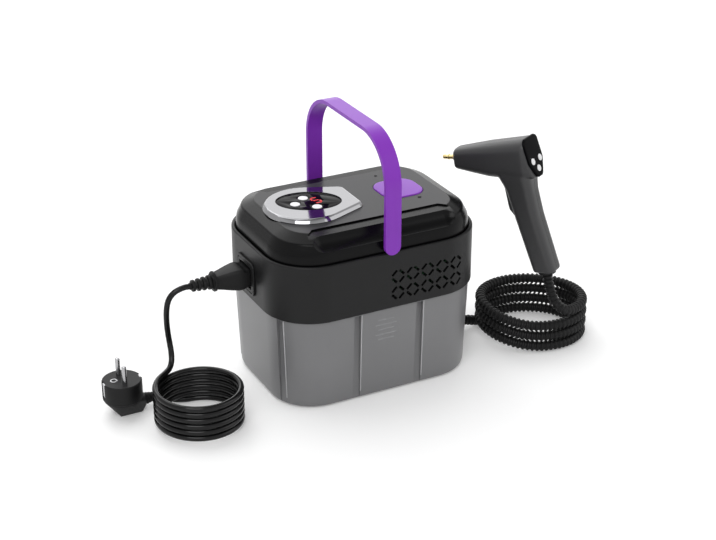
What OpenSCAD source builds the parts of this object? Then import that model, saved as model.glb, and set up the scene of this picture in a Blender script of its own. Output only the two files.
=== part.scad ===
// Portable steam cleaner: base unit with water tank, carrying handle, steam hose and steam gun.
// Frame: +Z up, +X to the hose side, -Y to the user. Origin: middle of the tank's underside.

/* [Body] */
// Width of the body along X
body_w = 230; // [210:1:260]
// Depth of the body along Y
body_d = 168; // [150:1:190]
// Radius of the body's upright corners
body_r = 52; // [44:1:58]
// Height of the seam between the tank and the housing band
seam_z = 98; // [88:1:110]
// Height of the housing band above the seam
band_h = 61; // [56:1:70]
// Wall of the housing band
band_wall = 4; // [3.5:0.25:5]

/* [Tank] */
// How far the tank's top lies inside the band's outline
tank_inset = 2.5; // [2:0.5:3]
// Draft of the tank's wall from the seam to the foot
tank_draft = 3.5; // [1:0.5:6]
// Wall of the tank
tank_wall = 3; // [2.5:0.25:4]
// Width of the upright grooves
groove_w = 8; // [5:0.5:12]
// Depth of the upright grooves
groove_depth = 1.6; // [0.8:0.2:2]
// Distance of the long sides' grooves from the middle
groove_x = 35; // [25:1:45]

/* [Lid] */
// Height of the lid's upright wall above the band's rim
lid_wall_h = 11; // [9:1:16]
// Height of the lid's sloping shoulder
lid_slope_h = 15.5; // [12:0.5:18]
// Width of the lid's sloping shoulder
lid_slope_w = 14; // [10:1:18]
// Wall of the lid
lid_wall = 3; // [2.5:0.25:4]
// Radius of the finger scoops along the long sides
scoop_r = 17; // [14:1:19]
// Length of the finger scoops
scoop_l = 170; // [140:1:180]

/* [Handle] */
// Width of the handle's strap
strap_w = 17; // [14:1:20]
// Thickness of the handle's strap
strap_t = 4; // [3.6:0.2:5]
// Height of the handle's top above its pivot
handle_h = 110; // [104:1:125]
// Radius of the handle's shoulders
handle_r = 50; // [35:1:60]
// Radius of the pivot pins
pivot_r = 4; // [3:0.25:5]

/* [Control panel] */
// Middle of the display along X
panel_x = -46; // [-50:1:-42]
// Half length of the display
display_a = 33; // [30:1:35]
// Half width of the display
display_b = 23; // [21:1:26]
// Radius of the push buttons
button_r = 5; // [3.5:0.25:5]
// Travel of the push buttons
button_travel = 1; // [0.6:0.1:1.2]

/* [Filler] */
// Middle of the filler along X
filler_x = 53; // [50:1:56]
// Side of the square filler cap
cap_side = 46; // [42:1:50]
// Bore of the filler neck
neck_bore_r = 14; // [12:0.5:15]

/* [Steam gun] */
// Length of the barrel ahead of the rear panel
barrel_l = 92; // [80:1:110]
// Height of the barrel's axis above the foot of the grip
barrel_z = 123; // [118:1:130]
// Radius of the barrel at the tip
tip_r = 11; // [10:0.5:13]
// Radius of the barrel at the rear
rear_r = 24; // [23:0.25:25]
// Wall of the gun's shells
gun_wall = 2.4; // [2:0.2:3]
// Radius of the brass nozzle's free end
nozzle_r = 2.5; // [2:0.25:3]
// Travel of the trigger
trigger_travel = 4; // [2:0.5:5]

/* [Cord and hose] */
// Diameter of the mains cord
cord_d = 6; // [5.5:0.1:6.2]
// Radius of the mains coil at the middle of the cord
cord_coil_r = 41.8; // [38:0.2:46]
// Outer diameter of the steam hose over its ribs
hose_d = 11.4; // [10.4:0.1:11.6]
// Bore of the steam hose
hose_bore = 5; // [4:0.5:6]
// Radius of the hose coil at the middle of the hose
hose_coil_r = 55; // [50:1:60]

/* [Hidden] */
$fn = 48;
eps = 0.01;
// Gap between neighbouring turns of a coil
wind_gap = 0.5;
// Running gap between pieces that move past each other
gap = 0.3;
// Radial clearance of a press fit
press_gap = 0.02;
// Radial clearance of a running pin
run_gap = 0.06;
rim_z = seam_z + band_h;
lid_inset = band_wall + gap;
ledge_w = 5;
ledge_t = 3;
lid_z = rim_z - 7;
slope_z = rim_z + lid_wall_h;
top_z = slope_z + lid_slope_h;

// Shapes that repeat

// Rounded rectangle whose sides lie the given inset inside the body's outline
module body_outline(inset) {
    round_rect(body_w - 2 * inset, body_d - 2 * inset, body_r - inset);
}

module round_rect(w, d, r) {
    union() {
        square([w - 2 * r, d], center = true);
        square([w, d - 2 * r], center = true);
        for (sx = [-1, 1], sy = [-1, 1])
            translate([sx * (w / 2 - r), sy * (d / 2 - r)])
                circle(r);
    }
}

module slab(z, h, inset) {
    translate([0, 0, z])
        linear_extrude(h)
            body_outline(inset);
}

module ring_slab(z, h, outer, inner) {
    translate([0, 0, z])
        linear_extrude(h)
            difference() {
                body_outline(outer);
                body_outline(inner);
            }
}

module block(size, r, h) {
    linear_extrude(h)
        round_rect(size[0], size[1], r);
}

module tube_along_z(z, h, outer, inner) {
    translate([0, 0, z])
        difference() {
            cylinder(r = outer, h = h);
            translate([0, 0, -1])
                cylinder(r = inner, h = h + 2);
        }
}

module screw(head_r, head_h, shank_r, shank_h) {
    difference() {
        union() {
            cylinder(r = head_r, h = head_h);
            translate([0, 0, -shank_h])
                cylinder(r = shank_r, h = shank_h + eps);
        }
        for (a = [0, 90])
            rotate(a)
                translate([-head_r * 0.6, -0.45, head_h * 0.45])
                    cube([head_r * 1.2, 0.9, head_h]);
    }
}

// Swept tubes

function unit(v) = v / norm(v);
function tangent(p, i) = unit(p[min(i + 1, len(p) - 1)] - p[max(i - 1, 0)]);
function across(t) = unit(cross(t, abs(t[2]) < 0.9 ? [0, 0, 1] : [1, 0, 0]));
// Side vectors carried along the path without twist
function carried(p) = [for (i = 0, n = across(tangent(p, 0)); i < len(p);
    i = i + 1, n = i < len(p) ? unit(n - (n * tangent(p, i)) * tangent(p, i)) : n) n];
function ring(c, t, n, r, sides) = [for (k = [0 : sides - 1])
    c + r * (cos(360 * k / sides) * n + sin(360 * k / sides) * cross(t, n))];
function rings(p, radii, sides) = let (n = carried(p))
    [for (i = [0 : len(p) - 1]) each ring(p[i], tangent(p, i), n[i], radii[i], sides)];
function skin(count, sides, flip) = [for (i = [0 : count - 2], k = [0 : sides - 1])
    let (a = i * sides + k, b = i * sides + (k + 1) % sides, c = a + sides, d = b + sides)
    each flip ? [[a, b, c], [b, d, c]] : [[a, c, b], [b, c, d]]];
function disc(first, sides, flip) = [for (k = [1 : sides - 2])
    flip ? [first, first + k + 1, first + k] : [first, first + k, first + k + 1]];
function shifted(faces, by) = [for (f = faces) [f[0] + by, f[1] + by, f[2] + by]];
function rim_faces(a, b, sides, flip) = [for (k = [0 : sides - 1])
    let (k2 = (k + 1) % sides)
    each flip ? [[a + k, b + k, a + k2], [a + k2, b + k, b + k2]]
              : [[a + k, a + k2, b + k], [a + k2, b + k2, b + k]]];
// Smooth curve through hand-placed points
function spline_at(p, i, t) = let (a = p[max(i - 1, 0)], b = p[i], c = p[i + 1], d = p[min(i + 2, len(p) - 1)])
    0.5 * (2 * b + (c - a) * t + (2 * a - 5 * b + 4 * c - d) * t * t + (3 * b - a - 3 * c + d) * t * t * t);
function spline(p, steps) = [for (i = [0 : len(p) - 2], s = [0 : steps - 1]) spline_at(p, i, s / steps), p[len(p) - 1]];

// Solid tube along a path
module sweep(p, radii, sides) {
    n = len(p);
    polyhedron(rings(p, radii, sides),
        concat(skin(n, sides, false), disc(0, sides, false), disc((n - 1) * sides, sides, true)));
}

// Tube along a path, with a bore along a coarser path that has the same ends
module hollow_sweep(p, radii, bore_path, bore, sides) {
    n = len(p);
    m = len(bore_path);
    outer = n * sides;
    polyhedron(concat(rings(p, radii, sides), rings(bore_path, constant(bore_path, bore), sides)),
        concat(skin(n, sides, false), shifted(skin(m, sides, true), outer),
            rim_faces(0, outer, sides, false),
            rim_faces(outer - sides, outer + (m - 1) * sides, sides, true)));
}

function constant(p, r) = [for (q = p) r];
// Least distance between points over half a loop apart, less the tube's diameter
function self_gap(p, loop_rings, d) = min([for (i = [0 : len(p) - 1], j = [i + floor(loop_rings / 2) : len(p) - 1])
    norm(p[i] - p[j])]) - d;

// Tank and deck

flange_w = 13;
flange_t = 3;
gasket_h = 2;
deck_t = 3;
deck_z = seam_z + gasket_h;
floor_z = deck_z + deck_t;
foot_inset = tank_inset + tank_draft;
foot_round = 7;
corner_groove_deg = 26.5;
screw_inset = tank_inset + 10;

module tank_form(extra) {
    hull() {
        slab(0, eps, foot_inset + foot_round + extra);
        slab(foot_round * 0.12, eps, foot_inset + foot_round * 0.45 + extra);
        slab(foot_round * 0.45, eps, foot_inset + foot_round * 0.12 + extra);
        slab(foot_round, eps, foot_inset + extra);
        slab(seam_z - eps, eps, tank_inset + extra);
    }
}

// Upright groove cutter on the wall that faces along +X of its own frame
module groove(reach) {
    translate([reach - groove_depth, -groove_w / 2, -1])
        cube([20, groove_w, seam_z * 0.985]);
}

// The six deck screws: four along the long sides and two at the ends
deck_screw_at = [for (sx = [-1, 1], sy = [-1, 1]) [sx * 55, sy * (body_d / 2 - screw_inset)],
    for (sx = [-1, 1]) [sx * (body_w / 2 - screw_inset), 30]];
deck_screw_r = 1.6;
deck_screw_l = 9;
boss_h = 12;
suction_in = [21, 46];
suction_at = [-(body_w / 2 - suction_in[0]), -(body_d / 2 - suction_in[1])];

module water_tank() {
    color([0.45, 0.46, 0.47, 0.6])
        difference() {
            union() {
                difference() {
                    tank_form(0);
                    translate([0, 0, tank_wall])
                        tank_form(tank_wall + groove_depth);
                    for (sx = [-1, 1], side = [0, 1])
                        rotate(side * 180)
                            translate([sx * groove_x, 0, 0])
                                rotate(-90)
                                    groove(body_d / 2 - foot_inset);
                    for (sy = [-1, 1], side = [0, 1])
                        rotate(side * 180)
                            translate([body_w / 2 - body_r, sy * (body_d / 2 - body_r), 0])
                                rotate(sy * corner_groove_deg)
                                    groove(body_r - foot_inset);
                }
                ring_slab(seam_z - flange_t, flange_t, tank_inset, tank_inset + flange_w);
                for (at = deck_screw_at)
                    translate([at[0], at[1], seam_z - boss_h])
                        cylinder(r = 3.6, h = boss_h);
            }
            for (at = deck_screw_at)
                translate([at[0], at[1], seam_z - boss_h + 2])
                    cylinder(r = deck_screw_r + press_gap, h = boss_h);
        }
}

module tank_gasket() {
    color("dimgray")
        ring_slab(seam_z, gasket_h, band_wall + 1, band_wall + 4);
}

module deck_plate() {
    color("gray")
        difference() {
            slab(deck_z, deck_t, lid_inset);
            for (at = concat(deck_screw_at, cover_screw_at))
                translate([at[0], at[1], deck_z - 1])
                    cylinder(r = deck_screw_r + gap, h = deck_t + 2);
            translate([filler_x, 0, deck_z - 1])
                cylinder(r = neck_r + gap, h = deck_t + 2);
            translate([suction_at[0], suction_at[1], deck_z - 1])
                cylinder(r = tube_r + press_gap, h = deck_t + 2);
        }
}

module deck_screws() {
    color("silver")
        for (at = deck_screw_at)
            translate([at[0], at[1], floor_z])
                screw(3.2, 2.2, deck_screw_r, deck_screw_l);
}

// Housing band

inlet_y = 6;
inlet_up = 25;
inlet_z = seam_z + inlet_up;
inlet_w = 34;
inlet_h = 30;
inlet_r = 4;
socket_w = 27;
socket_h = 20;
vent_x0 = 8.3;
vent_pitch = 16.7;
vent_z = seam_z + inlet_up;
vent_row = 18;
vent_slot_l = 7.4;
vent_slot_w = 2.6;
duct_y = 4;
pipe_r = 3.5;
// Room round the steam tube where it starts to bend inside a wall
elbow_room = 2.5;
post_in = [27, 34];
corner_post_in = [45, 26];
cover_screw_at = [[-(body_w / 2 - post_in[0]), body_d / 2 - post_in[1]],
    [-(body_w / 2 - post_in[0]), -(body_d / 2 - post_in[1])], [body_w / 2 - post_in[0], -(body_d / 2 - post_in[1])],
    [body_w / 2 - corner_post_in[0], body_d / 2 - corner_post_in[1]]];
cover_head_h = gasket_h - gap;
post_r = 4.5;

module vent_cell() {
    for (a = [45, 135, 225, 315])
        rotate([0, a, 0])
            translate([vent_row / 4 + 1.2, 0, 0])
                cube([vent_slot_w, 20, vent_slot_l], center = true);
}

module housing_band() {
    color([0.13, 0.13, 0.14])
        difference() {
            union() {
                ring_slab(seam_z, band_h, 0, band_wall);
                ring_slab(lid_z - ledge_t, ledge_t, band_wall - eps, band_wall + ledge_w);
                translate([-body_w / 2 - 2, inlet_y, inlet_z])
                    rotate([0, 90, 0])
                        block([inlet_h + 6, inlet_w + 6], inlet_r + 2, 3);
            }
            for (i = [0 : 4], j = [-1, 1])
                translate([vent_x0 + i * vent_pitch, -body_d / 2, vent_z + j * vent_row / 2])
                    vent_cell();
            translate([-body_w / 2 - 5, inlet_y, inlet_z])
                rotate([0, 90, 0])
                    block([inlet_h + 2 * gap, inlet_w + 2 * gap], inlet_r, 20);
            translate([body_w / 2 - 20, duct_y, pipe_z])
                rotate([0, 90, 0])
                    cylinder(r = pipe_r + elbow_room, h = 40);
        }
}

// Lid

pivot_z = rim_z + 8;
boss_r = 7.6;
boss_reach = body_d / 2 + 0.1;
pin_l = 10;
pin_in = 3;
strap_in = boss_reach + gap;
top_inset = lid_inset + 1.7 + lid_slope_w;
lid_round = 2;
scoop_in = 2;
scoop_up = 2.5;
step_in = 32;
step_l = 140;
step_depth = 1;

// Step along the upper edge of each scoop, its ends slanted outwards
module scoop_step() {
    for (sy = [-1, 1])
        scale([1, sy, 1])
            translate([0, 0, top_z - step_depth])
                linear_extrude(10)
                    polygon([[-step_l / 2, body_d / 2 - step_in], [step_l / 2, body_d / 2 - step_in],
                        [step_l / 2 + step_in, body_d / 2], [-step_l / 2 - step_in, body_d / 2]]);
}

module lid_form(extra) {
    hull() {
        slab(lid_z, eps, lid_inset + extra);
        slab(slope_z - 3, eps, lid_inset + 0.4 + extra);
        slab(slope_z, eps, lid_inset + 1.7 + extra);
        slab(top_z - lid_round - extra, eps, top_inset - lid_round + extra * 0.6);
        slab(top_z - eps - extra, eps, top_inset + lid_round * 0.6 + extra * 0.6);
    }
}

module scoop(r) {
    for (sy = [-1, 1])
        translate([0, sy * (body_d / 2 - scoop_in), top_z + scoop_up]) {
            rotate([0, 90, 0])
                cylinder(r = r, h = scoop_l - 2 * scoop_r, center = true);
            for (sx = [-1, 1])
                translate([sx * (scoop_l / 2 - scoop_r), 0, 0])
                    sphere(r);
        }
}

pocket_depth = 3;
cap_round = 17;
display_seat = 3;
post_z = top_z - 12;
board_posts = [for (sx = [-1, 1]) [panel_x + sx * (display_a + 5), 0]];

module display_oval(extra, h) {
    scale_y = (display_b + extra) / (display_a + extra);
    oval_outline = [for (k = [0 : 47])
        [(display_a + extra) * cos(k * 7.5), (display_b + extra) * sin(k * 7.5)]];
    translate([panel_x, 0, 0])
        linear_extrude(h)
            polygon(oval_outline);
}

module top_cover() {
    color([0.1, 0.1, 0.11])
        difference() {
            union() {
                difference() {
                    lid_form(0);
                    difference() {
                        translate([0, 0, -eps])
                            lid_form(lid_wall);
                        scoop(scoop_r + lid_wall);
                    }
                    scoop(scoop_r);
                    scoop_step();
                }
                for (sy = [-1, 1])
                    translate([0, sy * boss_reach, pivot_z])
                        rotate([sy * 90, 0, 0])
                            cylinder(r = boss_r, h = 14);
                translate([filler_x, 0, top_z - pocket_depth - lid_wall])
                    block([cap_side + 5, cap_side + 5], cap_round, pocket_depth + lid_wall - 1);
                for (at = board_posts)
                    translate([at[0], at[1], post_z])
                        cylinder(r = 3, h = 10);
                for (at = cover_screw_at)
                    translate([at[0], at[1], floor_z])
                        cylinder(r = post_r, h = lid_z - floor_z + 1);
                intersection() {
                    lid_form(1);
                    for (at = cover_screw_at)
                        translate([at[0], at[1], lid_z])
                            cylinder(r = post_r, h = top_z - lid_z);
                }
            }
            for (sy = [-1, 1])
                translate([0, sy * (boss_reach + 1), pivot_z])
                    rotate([sy * 90, 0, 0])
                        cylinder(r = pivot_r + press_gap, h = 20);
            translate([filler_x, 0, top_z - pocket_depth])
                block([cap_side + 1.2, cap_side + 1.2], cap_round, pocket_depth + 1);
            translate([filler_x, 0, top_z - 10])
                cylinder(r = neck_r + gap, h = 20);
            translate([0, 0, top_z - 10])
                display_oval(-display_seat, 20);
            for (at = cover_screw_at)
                translate([at[0], at[1], floor_z - 1])
                    cylinder(r = deck_screw_r + press_gap, h = 12);
        }
}

module cover_screws() {
    color("silver")
        for (at = cover_screw_at)
            translate([at[0], at[1], deck_z])
                mirror([0, 0, 1])
                    screw(3.2, cover_head_h, deck_screw_r, deck_t + 10);
}

// Handle

module strap_profile(outer, top) {
    union() {
        for (sy = [-1, 1])
            translate([sy * (outer - handle_r), top - handle_r])
                intersection() {
                    circle(handle_r, $fn = 96);
                    translate([sy > 0 ? 0 : -handle_r, 0])
                        square(handle_r);
                }
        translate([-outer + handle_r, top - handle_r])
            square([2 * (outer - handle_r), handle_r]);
        translate([-outer, 0])
            square([2 * outer, top - handle_r]);
    }
}

module carry_handle() {
    outer = strap_in + strap_t;
    inner_r = handle_r - strap_t;
    color([0.48, 0.2, 0.72])
        translate([0, 0, pivot_z])
            difference() {
                union() {
                    rotate([90, 0, 90])
                        translate([0, 0, -strap_w / 2])
                            linear_extrude(strap_w)
                                difference() {
                                    strap_profile(outer, handle_h);
                                    union() {
                                        for (sy = [-1, 1])
                                            translate([sy * (strap_in - inner_r), handle_h - handle_r])
                                                circle(inner_r, $fn = 96);
                                        translate([-strap_in + inner_r, handle_h - handle_r - 1])
                                            square([2 * (strap_in - inner_r), inner_r + 1]);
                                        translate([-strap_in, -1])
                                            square([2 * strap_in, handle_h - handle_r + 1]);
                                    }
                                }
                    for (sy = [-1, 1])
                        translate([0, sy * strap_in, 0])
                            rotate([-sy * 90, 0, 0])
                                cylinder(r = strap_w / 2, h = strap_t);
                }
                for (sy = [-1, 1])
                    translate([0, sy * (strap_in - 1), 0])
                        rotate([-sy * 90, 0, 0])
                            cylinder(r = pivot_r + run_gap, h = pin_in + 1);
            }
}

module handle_pins() {
    color("silver")
        for (sy = [-1, 1])
            translate([0, sy * (strap_in + pin_in - gap), pivot_z])
                rotate([sy * 90, 0, 0])
                    cylinder(r = pivot_r, h = pin_l + pin_in);
}

// Control panel

bezel_h = 4.8;
window_t = 4;
window_z = top_z;
button_up = 0.8;
flange_r = button_r + 1.2;
button_z = window_z - 2 - button_travel;
board_t = 1.6;
switch_h = 3;
button_at = [[panel_x - 2.5, 13], [panel_x - 16, 2.5], [panel_x + 1, -12.5]];

module bezel_outline(grow) {
    offset(r = grow, $fn = 64)
        hull() {
            translate([panel_x - 6, 0])
                circle(43, $fn = 64);
            for (sy = [-1, 1])
                translate([panel_x + 39, sy * 18])
                    circle(9, $fn = 32);
        }
}

module panel_bezel() {
    color("gainsboro")
        difference() {
            hull() {
                translate([0, 0, top_z])
                    linear_extrude(0.8)
                        bezel_outline(0);
                translate([0, 0, top_z + bezel_h - eps])
                    linear_extrude(eps)
                        bezel_outline(-3.5);
            }
            translate([0, 0, top_z - 1])
                display_oval(0.25, bezel_h + 2);
        }
}

module display_window() {
    color([0.03, 0.03, 0.03])
        difference() {
            translate([0, 0, window_z])
                display_oval(0, window_t);
            for (at = button_at)
                translate([at[0], at[1], window_z - 1])
                    cylinder(r = button_r + 0.15, h = window_t + 2);
        }
}

// Seven-segment numeral on the window, its segments as separate lit bars
digit_h = 13;
digit_w = 7.5;
bar_w = 1.5;
digit_x = panel_x + 7;
digit_y = 2.5;

module display_digit() {
    color("red")
        translate([digit_x, digit_y, window_z + window_t])
            linear_extrude(0.25) {
                for (j = [-1, 0, 1])
                    translate([0, j * digit_h / 2])
                        square([digit_w - bar_w, bar_w], center = true);
                for (s = [[-1, 1], [1, -1]])
                    translate([s[0] * digit_w / 2, s[1] * digit_h / 4])
                        square([bar_w, digit_h / 2 - bar_w * 1.3], center = true);
            }
}

module display_board() {
    color("darkgreen")
        union() {
            translate([panel_x, 0, post_z - board_t])
                block([2 * display_a + 18, 2 * display_b - 8], 3, board_t);
            for (at = button_at)
                translate([at[0] - 3, at[1] - 3, post_z - eps])
                    cube([6, 6, button_z - gap - button_travel - post_z]);
        }
}

module panel_button(at) {
    color("white")
        translate([at[0], at[1], button_z]) {
            cylinder(r = flange_r, h = 1.4);
            cylinder(r = button_r, h = window_z + window_t + button_up - button_z);
        }
}

module rear_button() { panel_button(button_at[0]); }
module left_button() { panel_button(button_at[1]); }
module front_button() { panel_button(button_at[2]); }

// Filler

neck_r = neck_bore_r + 3;
neck_top = top_z - pocket_depth - 0.2;
cap_t = 4;
plug_l = 12;
seal_r = 1.4;
seal_at_r = neck_bore_r - gap - seal_r;

module filler_neck() {
    color("gray")
        translate([filler_x, 0, 0])
            difference() {
                union() {
                    translate([0, 0, seam_z - 6])
                        cylinder(r = neck_r, h = neck_top - seam_z + 6);
                    translate([0, 0, floor_z])
                        cylinder(r = neck_r + 5, h = 3);
                }
                translate([0, 0, seam_z - 8])
                    cylinder(r = neck_bore_r, h = body_w);
            }
}

module filler_cap() {
    color([0.55, 0.33, 0.78])
        translate([filler_x, 0, top_z - pocket_depth])
            difference() {
                union() {
                    block([cap_side, cap_side], cap_round - 0.6, cap_t);
                    translate([0, 0, -plug_l])
                        cylinder(r = neck_bore_r - 1, h = plug_l + eps);
                }
                translate([0, 0, -plug_l / 2])
                    rotate_extrude()
                        translate([seal_at_r, 0])
                            circle(seal_r + press_gap);
                translate([0, 0, -plug_l - 1])
                    cylinder(r = neck_bore_r - 4, h = plug_l - 1);
            }
}

module cap_seal() {
    color("black")
        translate([filler_x, 0, top_z - pocket_depth - plug_l / 2])
            rotate_extrude()
                translate([seal_at_r, 0])
                    circle(seal_r);
}

// Mains inlet, cord and plug

inlet_l = 26;
socket_l = 17;
blade_l = 13;
socket_x = -body_w / 2 - 2;

module inlet_frame(w, h, r, l) {
    translate([0, inlet_y, inlet_z])
        rotate([0, 90, 0])
            block([h, w], r, l);
}

module mains_inlet() {
    color([0.08, 0.08, 0.08])
        difference() {
            union() {
                translate([socket_x, 0, 0])
                    inlet_frame(inlet_w, inlet_h, inlet_r, inlet_l);
                translate([-body_w / 2 + band_wall + gap, 0, 0])
                    inlet_frame(inlet_w + 10, inlet_h + 6, inlet_r, 3);
            }
            translate([socket_x - 1, 0, 0])
                inlet_frame(socket_w, socket_h, inlet_r, socket_l + 1);
            for (b = [-1, 0, 1])
                translate([socket_x + socket_l - 1, inlet_y + b * 7, inlet_z + (b == 0 ? 4 : -2)])
                    cube([20, 2 + 2 * press_gap, 4 + 2 * press_gap], center = true);
        }
}

module blades(grow, l) {
    for (b = [-1, 0, 1])
        translate([socket_x + socket_l - l, inlet_y + b * 7 - 1 - grow, inlet_z + (b == 0 ? 4 : -2) - 2 - grow])
            cube([l + (grow > 0 ? 0 : inlet_l - socket_l), 2 + 2 * grow, 4 + 2 * grow]);
}

module inlet_blades() {
    color("silver")
        blades(0, blade_l);
}

nose_gap = 0.4;
connector_l = 34;
relief_l = 26;
relief_ribs = 5;
cord_exit_x = socket_x - connector_l - relief_l;

module mains_connector() {
    color([0.05, 0.05, 0.05])
        difference() {
            union() {
                translate([socket_x - 2, 0, 0])
                    inlet_frame(socket_w - 2 * nose_gap, socket_h - 2 * nose_gap, inlet_r - nose_gap, socket_l);
                hull() {
                    translate([socket_x - 3, 0, 0])
                        inlet_frame(socket_w - 2 * nose_gap, socket_h + 2, inlet_r, 2);
                    translate([socket_x - connector_l * 0.45, inlet_y, inlet_z])
                        rotate([0, 90, 0])
                            cylinder(r = 12, h = 2, $fn = 32);
                    translate([socket_x - connector_l, inlet_y, inlet_z])
                        rotate([0, 90, 0])
                            cylinder(r = 7.5, h = 2, $fn = 32);
                }
                translate([socket_x - connector_l, inlet_y, inlet_z])
                    rotate([0, -90, 0])
                        rotate_extrude()
                            polygon(concat([[0, -2], [9.5, -2], [10.5, 0], [9.5, 2]],
                                [for (k = [0 : relief_ribs - 1])
                                    let (z0 = 3 + k * (relief_l - 3) / relief_ribs, r0 = 7.2 - k * 0.55)
                                    each [[r0 - 1.6, z0], [r0, z0 + 0.8], [r0, z0 + 2.6], [r0 - 1.6, z0 + 3.2]]],
                                [[0, relief_l]]));
            }
            blades(0.2, socket_l);
        }
}

// Route of the cord from the connector down to the coil, and from the coil to the plug
coil_at = [-192, -45];
cord_pitch = cord_d + wind_gap;
cord_turns = 5.86;
cord_in_deg = 128;
cord_top_z = cord_d / 2 + cord_pitch * cord_turns;
cord_loop_rings = 24;
cord_coil_path = [for (k = [0 : round(cord_turns * cord_loop_rings)])
    let (t = k / round(cord_turns * cord_loop_rings), a = cord_in_deg + 360 * cord_turns * t)
    [coil_at[0] + cord_coil_r * cos(a), coil_at[1] + cord_coil_r * sin(a), cord_top_z - cord_pitch * cord_turns * t]];
mains_lead_points = [[cord_exit_x, inlet_y, inlet_z], [-183.5, inlet_y, inlet_z], [-192.5, 6.3, inlet_z - 3],
    [-198.5, 7, inlet_z - 10],
    [-201, 8, 102], [-201.3, 9, 88], [-200.6, 9.4, 76], [-199.6, 9, 65], [-199.3, 6.5, 54], [-201.4, 2, 46],
    [-206.7, -3.5, 41.8], cord_coil_path[0]];
plug_at = [-252, 8];
plug_r = 20;
plug_h = 37;
plug_neck_z = 9;
plug_neck_x = plug_at[0] + plug_r + 14;
mains_tail_points = [cord_coil_path[len(cord_coil_path) - 1], [-192, -2.2, 3], [-203, 2, 4.2], [-211.5, 7, 8.2],
    [plug_neck_x, plug_at[1], plug_neck_z]];
cord_sides = 8;

module cord(path, sides) {
    color([0.04, 0.04, 0.04])
        sweep(path, constant(path, cord_d / 2), sides);
}

module mains_lead() { cord(spline(mains_lead_points, 2), cord_sides); }
module mains_coil() { cord(cord_coil_path, 6); }
module mains_tail() { cord(spline(mains_tail_points, 3), cord_sides); }

echo(mains_coil_gap = self_gap(cord_coil_path, cord_loop_rings, cord_d));

pin_gap = 19;
pin_r = 2.4;
pin_len = 19;
pin_root_r = 1.9;

module mains_plug() {
    color([0.06, 0.06, 0.06])
        difference() {
            union() {
                translate([plug_at[0], plug_at[1], plug_h - 20])
                    difference() {
                        cylinder(r = plug_r, h = 20);
                        for (sx = [-1, 1])
                            translate([sx * plug_r, 0, 3])
                                translate([-2.5, -4, 0])
                                    cube([5, 8, 30]);
                    }
                hull() {
                    translate([plug_at[0], plug_at[1], plug_h - 21])
                        cylinder(r = plug_r - 0.5, h = 1.5, $fn = 32);
                    translate([plug_at[0] + 2, plug_at[1], 0])
                        translate([-8, -9, 0])
                            cube([22, 18, 2]);
                    translate([plug_at[0] + plug_r, plug_at[1], plug_neck_z])
                        rotate([0, 90, 0])
                            cylinder(r = 7, h = 2, $fn = 32);
                }
                translate([plug_at[0] + plug_r, plug_at[1], plug_neck_z])
                    rotate([0, 90, 0])
                        cylinder(r1 = 6.5, r2 = 4.6, h = 14);
            }
            translate([plug_at[0], plug_at[1], plug_h - 12])
                for (sy = [-1, 1])
                    translate([0, sy * pin_gap / 2, 0])
                        cylinder(r = pin_root_r + press_gap, h = 20);
        }
}

module plug_pins() {
    color("silver")
        for (sy = [-1, 1])
            translate([plug_at[0], plug_at[1] + sy * pin_gap / 2, plug_h - 12]) {
                cylinder(r = pin_root_r, h = 12 + eps);
                translate([0, 0, 12])
                    cylinder(r = pin_r, h = pin_len - 1.5);
                translate([0, 0, 12 + pin_len - 1.5 - eps])
                    cylinder(r1 = pin_r, r2 = 1.4, h = 1.5);
            }
}

module earth_clips() {
    color("silver")
        for (sx = [-1, 1])
            translate([plug_at[0] + sx * (plug_r - 1.65), plug_at[1], plug_h - 17])
                translate([-0.8, -3.6, 0])
                    cube([1.6, 7.2, 16.4]);
}

// Works on the deck

barb_r = 3;
barb_l = 8;
boiler_in = [77, 48];
boiler_at = [-(body_w / 2 - boiler_in[0]), body_d / 2 - boiler_in[1]];
boiler_size = [88, 46, 30];
boiler_foot_h = 4;
suction_bend = 12;
boiler_port_z = floor_z + boiler_foot_h + 15;
pump_y = suction_at[1];
pump_x0 = suction_at[0] + suction_bend + barb_l;
pump_l = 70;
pump_r = 16;
pump_z = boiler_port_z;
hose_wall = 1.2;

module boiler() {
    color("silver")
        difference() {
            union() {
                translate([boiler_at[0], boiler_at[1], floor_z + boiler_foot_h])
                    block([boiler_size[0], boiler_size[1]], 10, boiler_size[2]);
                for (sx = [-1, 1], sy = [-1, 1])
                    translate([boiler_at[0] + sx * 32, boiler_at[1] + sy * 14, floor_z])
                        cylinder(r = 4, h = boiler_foot_h + eps);
                translate([boiler_at[0], boiler_at[1], floor_z + boiler_foot_h + boiler_size[2] - eps])
                    cylinder(r = 8, h = 6);
                for (sy = [-1, 1])
                    translate([boiler_at[0] + boiler_size[0] / 2, boiler_at[1] + sy * 12, boiler_port_z])
                        rotate([0, 90, 0])
                            cylinder(r = barb_r, h = barb_l);
            }
            for (j = [-1 : 1])
                translate([boiler_at[0] - boiler_size[0], boiler_at[1] + j * 16 - 1.5,
                        floor_z + boiler_foot_h + boiler_size[2] - 3])
                    if (j != 0)
                        cube([boiler_size[0] * 2, 3, 10]);
        }
}

module pump() {
    color("dimgray")
        union() {
            translate([pump_x0, pump_y, pump_z])
                rotate([0, 90, 0]) {
                    cylinder(r = pump_r, h = pump_l);
                    translate([0, 0, -barb_l])
                        cylinder(r = barb_r, h = pump_l + 2 * barb_l);
                }
            for (x = [8, pump_l - 16])
                translate([pump_x0 + x, pump_y - 10, floor_z])
                    cube([8, 20, pump_z - floor_z - pump_r * 0.6]);
        }
}

board_y = -(body_d / 2 - 22);
board_x = body_w / 2 - 103;

module control_board() {
    color("darkgreen")
        union() {
            translate([board_x, board_y, floor_z])
                cube([66, board_t, 36]);
            for (x = [6, 28, 48])
                translate([board_x + x, board_y + board_t - eps, floor_z + 10])
                    cube([13, 9, 14]);
        }
}

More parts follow.
